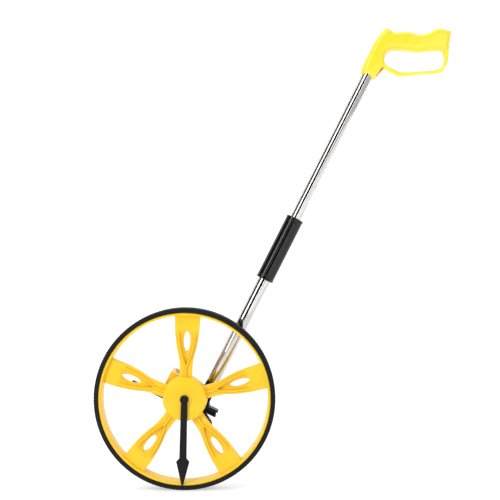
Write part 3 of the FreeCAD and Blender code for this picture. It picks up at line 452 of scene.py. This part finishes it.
def make_spoke(props, index):
    """One spoke: two half tubes of closed cross-section along its length, welded on the middle line.

    Each cross-section runs over the front from the hole's edge (or the middle line) to the outer
    edge and back under it; the hole is an ellipse whose half-width the inner edge follows.
    """
    hole_run = HOLE_MIDDLE - HOLE_REACH * np.cos(np.linspace(0, math.pi, 60))
    r = np.concatenate([np.linspace(36.0, HOLE_MIDDLE - HOLE_REACH, 84)[:-1], hole_run,
                        np.linspace(HOLE_MIDDLE + HOLE_REACH, 147.6, 50)[1:]])
    hole = HOLE_HALF * np.sqrt(np.clip(1 - ((r - HOLE_MIDDLE) / HOLE_REACH) ** 2, 0, None))
    across = np.linspace(0, 1, 46)
    q = 1 - (1 - across) ** 1.15
    rr, qq = np.meshgrid(r, q, indexing="ij")
    hh = np.broadcast_to(hole[:, None], rr.shape)
    w = hh + qq * (spoke_half_width(rr) - hh)
    front = spoke_front(rr, w, props)
    soft = np.clip(1 - (w - hh) / 0.6, 0, 1) * (hh > 0.05)
    front = front + 0.5 * (1 - np.sqrt(1 - 0.98 * soft ** 2))
    back = spoke_back(rr, w, hh)
    # Painted shade beside the ridges for the spoke's colour; the back gets none.
    shade = spoke_recess(rr, w, props)
    angle = math.radians(props.first_spoke + SPOKE_STEP * index)
    points, faces, shades = [], [], []
    offset = 0
    for side in (1, -1):
        section_w = np.concatenate([w, w[:, ::-1]], 1)
        section_y = np.concatenate([front, back[:, ::-1]], 1)
        rows, columns = section_w.shape
        shades.append(np.concatenate([shade, shade * 0], 1).reshape(-1))
        x = np.broadcast_to(r[:, None], section_w.shape)
        z = side * section_w
        points.append(np.stack([x * math.cos(angle) - z * math.sin(angle), section_y,
                                x * math.sin(angle) + z * math.cos(angle)], -1).reshape(-1, 3))
        quads = grid_faces(rows, columns, close_rows=False).reshape(rows - 1, columns, 4)
        solid = (hole[:-1] < 0.01) & (hole[1:] < 0.01)
        keep = np.ones((rows - 1, columns), bool)
        keep[solid, columns - 1] = False
        faces.append(quads[keep] + offset)
        offset += rows * columns
    return make_object("wheel_spoke_%d" % (index + 1), wheel_to_row(np.concatenate(points)),
                       np.concatenate(faces), finish_of("spoke_yellow"), 50.0, np.concatenate(shades))


def make_wheel(props):
    """The yellow wheel: rim, hub drum, five spokes and the drum's inner ribs."""
    yellow = finish_of("wheel_yellow")
    rim_profile = rounded([(props.rim_lip / MM, -15), (149.6, -15), (149.9, -13.6), (150.65, -13.6),
                           (150.65, 15), (145.6, 15)], [0.9, 0.3, 0.2, 0.1, 0.5, 1.0])
    pieces = [revolve("wheel_rim", rim_profile, 256, yellow)]
    drum_profile = rounded(
        [(7.0, -15.6), (8.6, -15.6), (8.7, -15.05), (38.0, -15.0), (39.5, 8.0), (36.6, 8.0), (35.0, -12.0),
         (14.5, -12.0), (14.5, 12.5), (11.0, 12.5), (11.0, -12.0), (7.0, -12.0)],
        [0.3, 0.3, 0.2, 2.6, 0.6, 0.6, 1.5, 1.0, 0.5, 0.4, 0.0, 0.3], 7)
    pieces.append(revolve("wheel_drum", drum_profile, 192, yellow))
    pieces += [make_spoke(props, k) for k in range(SPOKES)]
    for k in range(SPOKES):
        angle = math.radians(props.first_spoke + SPOKE_STEP / 2 + SPOKE_STEP * k)
        pieces.append(slab("drum_rib_%d" % (k + 1), (13.5, 35.2), (-12.2, 6.0), 1.2, angle, yellow))
    for piece in pieces:
        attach(piece, "wheel")
    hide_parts("wheel")
    return pieces


EDGE_ROUND = 0.35


def slab(name, reach, depth, half, angle, material):
    """A thin rib with rounded edges, standing on a radius of the wheel.

    Its outline is stacked in four layers across the rib, the outer two drawn in a little.
    """
    (near, far), (front, back) = reach, depth
    outline = rounded([(near, front), (far, front), (far, back), (near, back)], 0.8)
    layers = [(-half, EDGE_ROUND), (-half + EDGE_ROUND, 0.0), (half - EDGE_ROUND, 0.0), (half, EDGE_ROUND)]
    middle = outline.mean(0)
    points = []
    for w, inset in layers:
        ring = middle + (outline - middle) * (1 - inset / 9.0)
        points.append(np.stack([ring[:, 0] * math.cos(angle) - w * math.sin(angle), ring[:, 1],
                                ring[:, 0] * math.sin(angle) + w * math.cos(angle)], -1))
    faces = grid_faces(len(layers), len(outline), close_rows=False)
    return make_object(name, wheel_to_row(np.concatenate(points)), faces, material)


CROSS_RIBS = 180
RIB_DEPTH = 0.35
TYRE_SEAT = 150.7
TYRE_HALF = 15.0
GROOVES = (-7.5, 0.0, 7.5)


def tread(angle, radius, height):
    """Fine cross ribs on the tyre's running face: a cosine of the angle taken off the radius."""
    on_face = smoothstep(158.4, 159.0, radius)
    return radius - RIB_DEPTH * on_face * (0.5 + 0.5 * np.cos(angle * CROSS_RIBS))


def make_tyre(props):
    """The black tyre: bead, rounded shoulders, three grooves and fine cross ribs."""
    edge = WHEEL_R / MM
    corners = [(TYRE_SEAT, -TYRE_HALF), (edge - 0.1, -TYRE_HALF)]
    radii = [0.5, 3.0]
    for groove in GROOVES:
        corners += [(edge, groove - 0.9), (edge - 1.0, groove - 0.4)]
        corners += [(edge - 1.0, groove + 0.4), (edge, groove + 0.9)]
        radii += [0.25, 0.2, 0.2, 0.25]
    corners += [(edge - 0.1, TYRE_HALF), (TYRE_SEAT, TYRE_HALF)]
    radii += [3.0, 0.5]
    piece = revolve("tyre_surface", rounded(corners, radii, 4), 8 * CROSS_RIBS, finish_of("tyre_rubber"),
                    radial=tread)
    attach(piece, "wheel")
    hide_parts("tyre")
    return piece


# ------------------------------------------------------------------ stem

TUBE_AT = (32.0, 40.0)
SLEEVE_FROM = 248.5
SLEEVE_TO = 372.2
SLEEVE_FLUTES = 16
LAND_SHARE = 0.6


def stem_ring(name, profile, segments, slot, body, node, radial=None):
    """A revolved piece about the tube's axis, in place of one CAD node."""
    piece = revolve(name, profile, segments, finish_of(slot), stem_to_row, TUBE_AT, radial)
    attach(piece, body)
    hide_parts(node)
    return piece


def flutes(count, depth, start, end):
    """A radius change that cuts narrow rounded grooves between two heights, with round lands between."""

    def cut(angle, radius, height):
        """The radius less the groove where the cosine of the flute angle is low."""
        outer = smoothstep(15.0, 15.4, radius)
        along = smoothstep(start, start + 2.5, height) * (1 - smoothstep(end - 2.5, end, height))
        wave = smoothstep(LAND_SHARE, 1.0, -np.cos(angle * count))
        return radius - depth * outer * along * wave
    return cut


def make_stem(props):
    """Both chrome tubes and the fluted twist sleeve."""
    lower = rounded([(11.0, 40.0), (11.0, 345.0), (9.8, 345.0), (9.8, 40.0)], 0.3, 3)
    upper = rounded([(9.5, 268.0), (9.5, 722.0), (8.5, 722.0), (8.5, 268.0)], 0.25, 3)
    pieces = [stem_ring("lower_tube_surface", lower, 96, "chrome", "frame", "lower_tube"),
              stem_ring("upper_tube_surface", upper, 96, "chrome", "grip", "upper_tube")]
    low, high = SLEEVE_FROM, SLEEVE_TO
    heights = np.linspace(low + 5.0, high - 5.0, 40)
    outer = [(12.3, low), (15.4, low), (16.1, low + 0.8), (16.1, low + 3.2), (15.5, low + 4.6)]
    outer += [(15.5, h) for h in heights]
    outer += [(15.5, high - 4.6), (16.1, high - 3.2), (16.1, high - 0.8), (15.2, high), (10.4, high)]
    inner = [(9.9, high - 0.5), (9.9, 360.5), (12.1, 359.8), (12.1, low + 8.0), (11.1, low + 7.5)]
    inner += [(11.1, low + 0.5)]
    fluting = flutes(SLEEVE_FLUTES, props.flute_depth / MM, low + 4.4, high - 4.4)
    pieces.append(stem_ring("lock_sleeve_surface", outer + inner, SLEEVE_FLUTES * 14, "black_gloss", "sleeve",
                            "lock_sleeve", fluting))
    return pieces


# ------------------------------------------------------------------ grip

def natural_curve(points, count):
    """Points along a smooth Catmull-Rom curve: a cubic between neighbours of a run of corners."""
    points = np.asarray(points, float)
    ends = np.concatenate([[2 * points[0] - points[1]], points, [2 * points[-1] - points[-2]]])
    t = np.linspace(0, len(points) - 1, count)
    k = np.minimum(t.astype(int), len(points) - 2)
    s = (t - k)[:, None]
    a, b, c, d = ends[k], ends[k + 1], ends[k + 2], ends[k + 3]
    square = (2 * a - 5 * b + 4 * c - d) * s ** 2
    cube = (3 * b - a - 3 * c + d) * s ** 3
    return 0.5 * (2 * b + (c - a) * s + square + cube)


GRIP_AT = (0.420, 0.040, 0.740)
GRIP_REACH = (58.55, 80.60)
SOCKET_HALF = 13.8
EDGE_REACH = 10.0
EDGE_POWER = 2.1
GRIP_RUNS = (
    # outer run, loop run, share of the points
    (((-106.2, 0.1), (-99, 19), (-90, 37), (-81, 55), (-70, 71), (-62, 80)),
     ((-61, 16), (-62.5, 22), (-60, 31)), 60),
    (((-62, 80), (-58, 80.6), (-53, 78), (-47, 74), (-38, 73.2)), ((-60, 31), (-56, 37), (-48, 41)), 44),
    (((-38, 73.2), (-20, 74.4), (1, 69.4), (15, 72), (28, 79)),
     ((-48, 41), (-24, 40), (0, 37.5), (20, 39.5)), 70),
    (((28, 79), (38, 80.4), (58, 75)), ((20, 39.5), (36, 40.4), (43.5, 38)), 36),
    (((58, 75), (58.6, 71), (55, 52), (53.4, 30), (51, 14)), ((43.5, 38), (45, 22), (43, 14)), 60),
    (((51, 14), (43, 3), (30, -1.4)), ((43, 14), (39, 9), (26, 4.8)), 36),
    (((30, -1.4), (0, -3), (-32, -6), (-46, -2)), ((26, 4.8), (-18, 1.8), (-36, 2)), 70),
    (((-46, -2), (-60, 5.5), (-66.5, 8)), ((-36, 2), (-50, 9), (-57, 12.5)), 30),
    (((-66.5, 8), (-81.5, -12.4)), ((-57, 12.5), (-59, 14)), 30),
    (((-81.5, -12.4), (-106.2, 0.1)), ((-59, 14), (-61, 16)), 30),
)


def loop_distance(points, loop):
    """Distance from each point to a closed line of segments."""
    best = np.full(len(points), 1e9)
    ends = np.roll(loop, -1, 0)
    for start in range(0, len(loop), 32):
        a, b = loop[start:start + 32], ends[start:start + 32]
        ab = b - a
        long = np.maximum((ab ** 2).sum(1), 1e-9)
        t = np.clip(((points[:, None] - a) * ab).sum(2) / long, 0, 1)
        near = a + t[..., None] * ab
        best = np.minimum(best, np.sqrt(((points[:, None] - near) ** 2).sum(2)).min(1))
    return best


def make_grip(props):
    """The closed pistol grip: an annulus between silhouette and finger loop, raised as a pillow.

    Each point's half thickness is a quarter-round of its distance to the nearest outline, so both
    faces meet in a smooth edge. The socket round the tube is rounder and the guard is thinner.
    """
    outer = np.concatenate([natural_curve(o, n + 1)[:-1] for o, i, n in GRIP_RUNS])
    outer = np.minimum(outer, GRIP_REACH)
    inner = np.concatenate([natural_curve(i, n + 1)[:-1] for o, i, n in GRIP_RUNS])
    steps = 0.5 - 0.5 * np.cos(np.linspace(0, math.pi, 46))
    flat = outer[:, None] + (inner - outer)[:, None] * steps[None, :, None]
    count, rings = flat.shape[:2]
    points = flat.reshape(-1, 2)
    distance = np.minimum(loop_distance(points, outer), loop_distance(points, inner))
    socket = smoothstep(40.0, 10.0, np.hypot(points[:, 0] + 94, points[:, 1] + 6))
    full = props.grip_half / MM * (1 - socket) + SOCKET_HALF * socket
    reach = EDGE_REACH * (1 - socket) + SOCKET_HALF * socket
    d = np.clip(distance / reach, 0, 1)
    thick = full * (1 - (1 - d) ** EDGE_POWER) ** (1 / EDGE_POWER)
    guard = smoothstep(14.0, 6.0, points[:, 1]) * smoothstep(-60.0, -45.0, points[:, 0])
    thick = thick * (1 - 0.28 * guard)
    thick = np.maximum(thick.reshape(count, rings), 0.0)
    x = GRIP_AT[0] + flat[..., 0] * MM
    z = GRIP_AT[2] + flat[..., 1] * MM
    sheet = [np.stack([x, GRIP_AT[1] + side * thick * MM, z], -1) for side in (-1, 1)]
    section = np.concatenate([sheet[0], sheet[1][:, ::-1]], 1)
    faces = grid_faces(count, 2 * rings)
    piece = make_object("grip_surface", section.reshape(-1, 3), faces, finish_of("grip_yellow"), 60.0)
    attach(piece, "grip")
    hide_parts("grip_front", "grip_back")
    return piece


# ------------------------------------------------------------------ counter numerals

DRUM_AT = (-27.7, 14.0)
DRUM_FIRST = 24.0
DRUM_STEP = 7.4
DRUM_R = 11.0
DRUMS = 5
FIGURES = 10
GEAR_SIDE = 2.6
INK_FILM = 0.06
FIGURE_WIDE = 0.8


def numeral_mesh(figure, size):
    """Flat triangles of one printed numeral, in millimetres."""
    curve = bpy.data.curves.new("numeral", "FONT")
    curve.body = str(figure)
    curve.size = size
    curve.align_x = "CENTER"
    curve.align_y = "CENTER"
    curve.resolution_u = 3
    holder = bpy.data.objects.new("numeral", curve)
    bpy.context.scene.collection.objects.link(holder)
    mesh = bpy.data.meshes.new_from_object(holder)
    mesh.calc_loop_triangles()
    flat = np.empty(3 * len(mesh.vertices), np.float32)
    mesh.vertices.foreach_get("co", flat)
    faces = np.empty(3 * len(mesh.loop_triangles), np.int32)
    mesh.loop_triangles.foreach_get("vertices", faces)
    bpy.data.objects.remove(holder)
    bpy.data.curves.remove(curve)
    bpy.data.meshes.remove(mesh)
    return flat.reshape(-1, 3)[:, :2].astype(float), faces.reshape(-1, 3)


def make_numerals(props):
    """Ten numerals round each drum, wrapped on its face and raised by a film of ink."""
    pieces = []
    figures = [numeral_mesh(k, props.numeral_height / MM) for k in range(FIGURES)]
    for n in range(DRUMS):
        points, faces = [], []
        total = 0
        side = GEAR_SIDE if n else 0.0
        middle = DRUM_FIRST + DRUM_STEP * n + (side + DRUM_STEP - 0.3) / 2
        for k, (flat, triangles) in enumerate(figures):
            angle = math.pi / 2 + 2 * math.pi * k / FIGURES - flat[:, 1] / DRUM_R
            radius = DRUM_R + INK_FILM
            points.append(np.stack([DRUM_AT[0] + radius * np.cos(angle), middle - flat[:, 0] * FIGURE_WIDE,
                                    DRUM_AT[1] + radius * np.sin(angle)], -1))
            faces.append(triangles + total)
            total += len(flat)
        mesh = bpy.data.meshes.new("numerals_%d" % (n + 1))
        mesh.from_pydata(stem_to_row(np.concatenate(points)).tolist(), [], np.concatenate(faces).tolist())
        piece = bpy.data.objects.new("numerals_%d" % (n + 1), mesh)
        bpy.context.scene.collection.objects.link(piece)
        mesh.materials.append(finish_of("ink_red" if n == 0 else "ink_white"))
        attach(piece, "drum_%d" % (n + 1))
        pieces.append(piece)
    return pieces


# ------------------------------------------------------------------ finishes of the carried-over nodes

def paint_nodes():
    """Every CAD node gets the detailed finish of its material slot."""
    for part in frame["record"]["subparts"]:
        node = frame["nodes"][part["node"]]
        finish = finish_of(part["material_slot"])
        if not node.material_slots:
            node.data.materials.append(finish)
        for slot in node.material_slots:
            slot.material = finish


# ------------------------------------------------------------------ studio

SWEEP_BEND = 1.2
SWEEP_FAR = 3.0
SWEEP_NEAR = -4.0
SWEEP_HALF = 5.0
SWEEP_HIGH = 5.0
SWEEP_BELOW = 0.0002


def make_floor(material):
    """A seamless sweep: floor, quarter-round bend and wall, as one grid."""
    bend = SWEEP_BEND
    angle = np.linspace(0, math.pi / 2, 24)
    y = np.concatenate([[SWEEP_NEAR, 0.0], SWEEP_FAR + bend * np.sin(angle), [SWEEP_FAR + bend]])
    z = np.concatenate([[0.0, 0.0], bend - bend * np.cos(angle), [SWEEP_HIGH]])
    x = np.array([-SWEEP_HALF, SWEEP_HALF])
    points = np.stack([np.tile(x, len(y)), np.repeat(y, 2), np.repeat(z, 2) - SWEEP_BELOW], -1)
    mesh = bpy.data.meshes.new("studio_sweep")
    faces = [(2 * k, 2 * k + 1, 2 * k + 3, 2 * k + 2) for k in range(len(y) - 1)]
    mesh.from_pydata(points.tolist(), [], faces)
    mesh.polygons.foreach_set("use_smooth", np.ones(len(faces), bool))
    floor = bpy.data.objects.new("studio_sweep", mesh)
    bpy.context.scene.collection.objects.link(floor)
    mesh.materials.append(material)


def soft_lamp(name, size, power):
    """A rectangular area lamp at the origin, hidden from the camera."""
    lamp = bpy.data.lights.new(name, "AREA")
    lamp.shape = "RECTANGLE"
    lamp.size, lamp.size_y = size
    lamp.energy = power
    holder = bpy.data.objects.new(name, lamp)
    holder.visible_camera = False
    bpy.context.scene.collection.objects.link(holder)
    return holder


def add_light(name, place, target, size, power):
    """A soft lamp at one place, aimed at another."""
    holder = soft_lamp(name, size, power)
    holder.location = place
    holder.rotation_euler = (Vector(target) - Vector(place)).to_track_quat("-Z", "Y").to_euler()


def card_finish(name, colour):
    """Felt of a studio card, with a faint nap."""
    paint = Paint(name, Roughness=0.9, Specular_IOR_Level=0.1)
    nap = paint.noise(200.0)
    paint.feed("Base Color", paint.blend(nap, colour, [c * 1.3 for c in colour]))
    return paint.material


def beside_stem(degrees, away):
    """A point beside the middle of the stem, and the outward and sideways directions there.

    The angle runs about the tube from straight in front (0) towards the side the tube leans to.
    """
    turn = math.radians(degrees)
    across = np.array([math.cos(LEAN), 0.0, -math.sin(LEAN)])
    front = np.array([0.0, -1.0, 0.0])
    out = across * math.sin(turn) + front * math.cos(turn)
    wide = across * math.cos(turn) - front * math.sin(turn)
    return STEM_MIDDLE + out * away, out, wide


def stem_card(name, degrees, away, half, material):
    """A long card beside the stem, seen only as a band in the chrome."""
    middle, _, wide = beside_stem(degrees, away)
    s, t = np.meshgrid(np.linspace(-1, 1, 9), np.linspace(*CARD_SPAN, 13), indexing="ij")
    points = middle + s[..., None] * half * wide + t[..., None] * STEM_ALONG
    mesh = bpy.data.meshes.new(name)
    mesh.from_pydata(points.reshape(-1, 3).tolist(), [], grid_faces(9, 13, False, False).tolist())
    card = bpy.data.objects.new(name, mesh)
    bpy.context.scene.collection.objects.link(card)
    mesh.materials.append(material)
    card.visible_camera = False


def stem_light(name, degrees, away, width, power):
    """A strip light beside the stem and along it, facing it."""
    middle, out, wide = beside_stem(degrees, away)
    middle = middle + STEM_ALONG * STRIP_RAISED
    holder = soft_lamp(name, (width, STRIP_LONG), power)
    columns = np.stack([wide, STEM_ALONG, out, middle], 1)
    holder.matrix_world = Matrix(columns.tolist() + [[0.0, 0.0, 0.0, 1.0]])


# name, degrees about the stem, distance, width, share of the strip power
STEM_LIGHTS = (
    ("strip_left", -48.0, 1.6, 0.34, 1.0),
    ("strip_front", 11.0, 1.7, 0.14, 0.28),
    ("side_fill", 58.0, 0.8, 0.9, 0.17),
    ("strip_rear_left", -116.0, 1.9, 0.16, 0.25),
    ("strip_rear_right", 114.0, 1.2, 0.12, 0.2),
)


def make_studio(props):
    """Sweep, world, soft lights and camera."""
    scene = bpy.context.scene
    make_floor(seamless("studio_paper"))
    scene.view_settings.view_transform = "Standard"
    world = bpy.data.worlds.new("studio_world")
    world.use_nodes = True
    world.node_tree.nodes["Background"].inputs["Color"].default_value = (1.0, 1.0, 1.0, 1.0)
    world.node_tree.nodes["Background"].inputs["Strength"].default_value = props.world_strength
    scene.world = world
    add_light("top_light", (0.1, 0.3, 2.8), (0.1, 0.3, 0.0), (2.6, 2.6), props.top_power)
    add_light("back_light", (0.1, 1.2, 2.6), (0.1, 4.2, 1.4), (2.6, 1.0), props.top_power)
    black = card_finish("studio_black_card", (0.006, 0.006, 0.006))
    stem_card("card_left", -89.0, 1.7, 0.42, black)
    stem_card("card_front", -12.0, 1.9, 0.60, black)
    for name, degrees, away, width, share in STEM_LIGHTS:
        stem_light(name, degrees, away, width, props.strip_power * share)
    camera = bpy.data.cameras.new("studio_camera")
    camera.sensor_width = 36.0
    camera.lens = props.lens
    camera.clip_end = 50
    holder = bpy.data.objects.new("studio_camera", camera)
    holder.location = CAMERA_AT
    holder.rotation_euler = (math.pi / 2, 0, 0)
    scene.collection.objects.link(holder)
    scene.camera = holder


# ------------------------------------------------------------------ add-on

class WheelProps(bpy.types.PropertyGroup):
    """Sizes of the wheel, stem, grip and numerals, and the studio's light."""

    rim_lip: bpy.props.FloatProperty(name="Rim lip", description="Inner radius of the rim's front lip",
                                     default=0.1463, unit="LENGTH")
    first_spoke: bpy.props.FloatProperty(name="First spoke", default=88.0,
                                         description="Angle of the top spoke from +X, in degrees")
    ridge_width: bpy.props.FloatProperty(name="Ridge width", description="Width of the spoke's forked ridge",
                                         default=0.0035, unit="LENGTH")
    raised_front: bpy.props.FloatProperty(name="Raised front", description="Depth of the ridge's crest",
                                          default=-0.009, unit="LENGTH")
    flute_depth: bpy.props.FloatProperty(name="Flute depth", description="Depth of the sleeve's flutes",
                                         default=0.00045, unit="LENGTH")
    grip_half: bpy.props.FloatProperty(name="Grip half", description="Half the grip's thickness",
                                       default=0.0155, unit="LENGTH")
    numeral_height: bpy.props.FloatProperty(name="Numeral height", description="Height of a drum's numerals",
                                            default=0.0058, unit="LENGTH")
    lens: bpy.props.FloatProperty(name="Lens", default=57.2,
                                  description="Camera focal length in millimetres")
    top_power: bpy.props.FloatProperty(name="Top power", default=34.0,
                                       description="Power of each overhead light in watts")
    strip_power: bpy.props.FloatProperty(name="Strip power", default=20.0,
                                         description="Power of the main strip light in watts")
    world_strength: bpy.props.FloatProperty(name="World strength", default=0.36,
                                            description="Brightness of the studio's world")


class PieceOperator:
    """Shared run of a builder function."""

    def build(self, props):
        """Build the piece; each operator says how."""
        raise NotImplementedError

    def execute(self, context):
        """Build from the scene's settings."""
        self.build(context.scene.measuring_wheel)
        return {"FINISHED"}


class WHEEL_OT_wheel(PieceOperator, bpy.types.Operator):
    """Build the yellow wheel"""
    bl_idname = "measuring_wheel.wheel"
    bl_label = "Build Wheel"

    def build(self, props):
        make_wheel(props)


class WHEEL_OT_tyre(PieceOperator, bpy.types.Operator):
    """Build the tyre"""
    bl_idname = "measuring_wheel.tyre"
    bl_label = "Build Tyre"

    def build(self, props):
        make_tyre(props)


class WHEEL_OT_stem(PieceOperator, bpy.types.Operator):
    """Build the tubes and the twist sleeve"""
    bl_idname = "measuring_wheel.stem"
    bl_label = "Build Stem"

    def build(self, props):
        make_stem(props)


class WHEEL_OT_grip(PieceOperator, bpy.types.Operator):
    """Build the grip"""
    bl_idname = "measuring_wheel.grip"
    bl_label = "Build Grip"

    def build(self, props):
        make_grip(props)


class WHEEL_OT_numerals(PieceOperator, bpy.types.Operator):
    """Build the counter's numerals"""
    bl_idname = "measuring_wheel.numerals"
    bl_label = "Build Numerals"

    def build(self, props):
        make_numerals(props)


class WHEEL_OT_finishes(PieceOperator, bpy.types.Operator):
    """Give every carried-over node its finish"""
    bl_idname = "measuring_wheel.finishes"
    bl_label = "Apply Finishes"

    def build(self, props):
        paint_nodes()


class WHEEL_OT_studio(PieceOperator, bpy.types.Operator):
    """Build the studio and the camera"""
    bl_idname = "measuring_wheel.studio"
    bl_label = "Build Studio"

    def build(self, props):
        make_studio(props)


OPERATORS = (WHEEL_OT_wheel, WHEEL_OT_tyre, WHEEL_OT_stem, WHEEL_OT_grip, WHEEL_OT_numerals,
             WHEEL_OT_finishes, WHEEL_OT_studio)


class WHEEL_PT_panel(bpy.types.Panel):
    """Sidebar panel with the sizes and the builders"""
    bl_label = "Measuring Wheel"
    bl_idname = "WHEEL_PT_panel"
    bl_space_type = "VIEW_3D"
    bl_region_type = "UI"
    bl_category = "Measuring Wheel"

    def draw(self, context):
        props = context.scene.measuring_wheel
        for name in WheelProps.__annotations__:
            self.layout.prop(props, name)
        for operator in OPERATORS:
            self.layout.operator(operator.bl_idname)


CLASSES = (WheelProps,) + OPERATORS + (WHEEL_PT_panel,)


def register():
    """Register the classes and the scene's settings."""
    for cls in CLASSES:
        bpy.utils.register_class(cls)
    bpy.types.Scene.measuring_wheel = bpy.props.PointerProperty(type=WheelProps)


def unregister():
    """Remove the settings and the classes."""
    del bpy.types.Scene.measuring_wheel
    for cls in reversed(CLASSES):
        bpy.utils.unregister_class(cls)


def main():
    """Run every builder in order."""
    register()
    for operator in OPERATORS:
        family, action = operator.bl_idname.split(".")
        getattr(getattr(bpy.ops, family), action)()


if __name__ == "__main__":
    main()
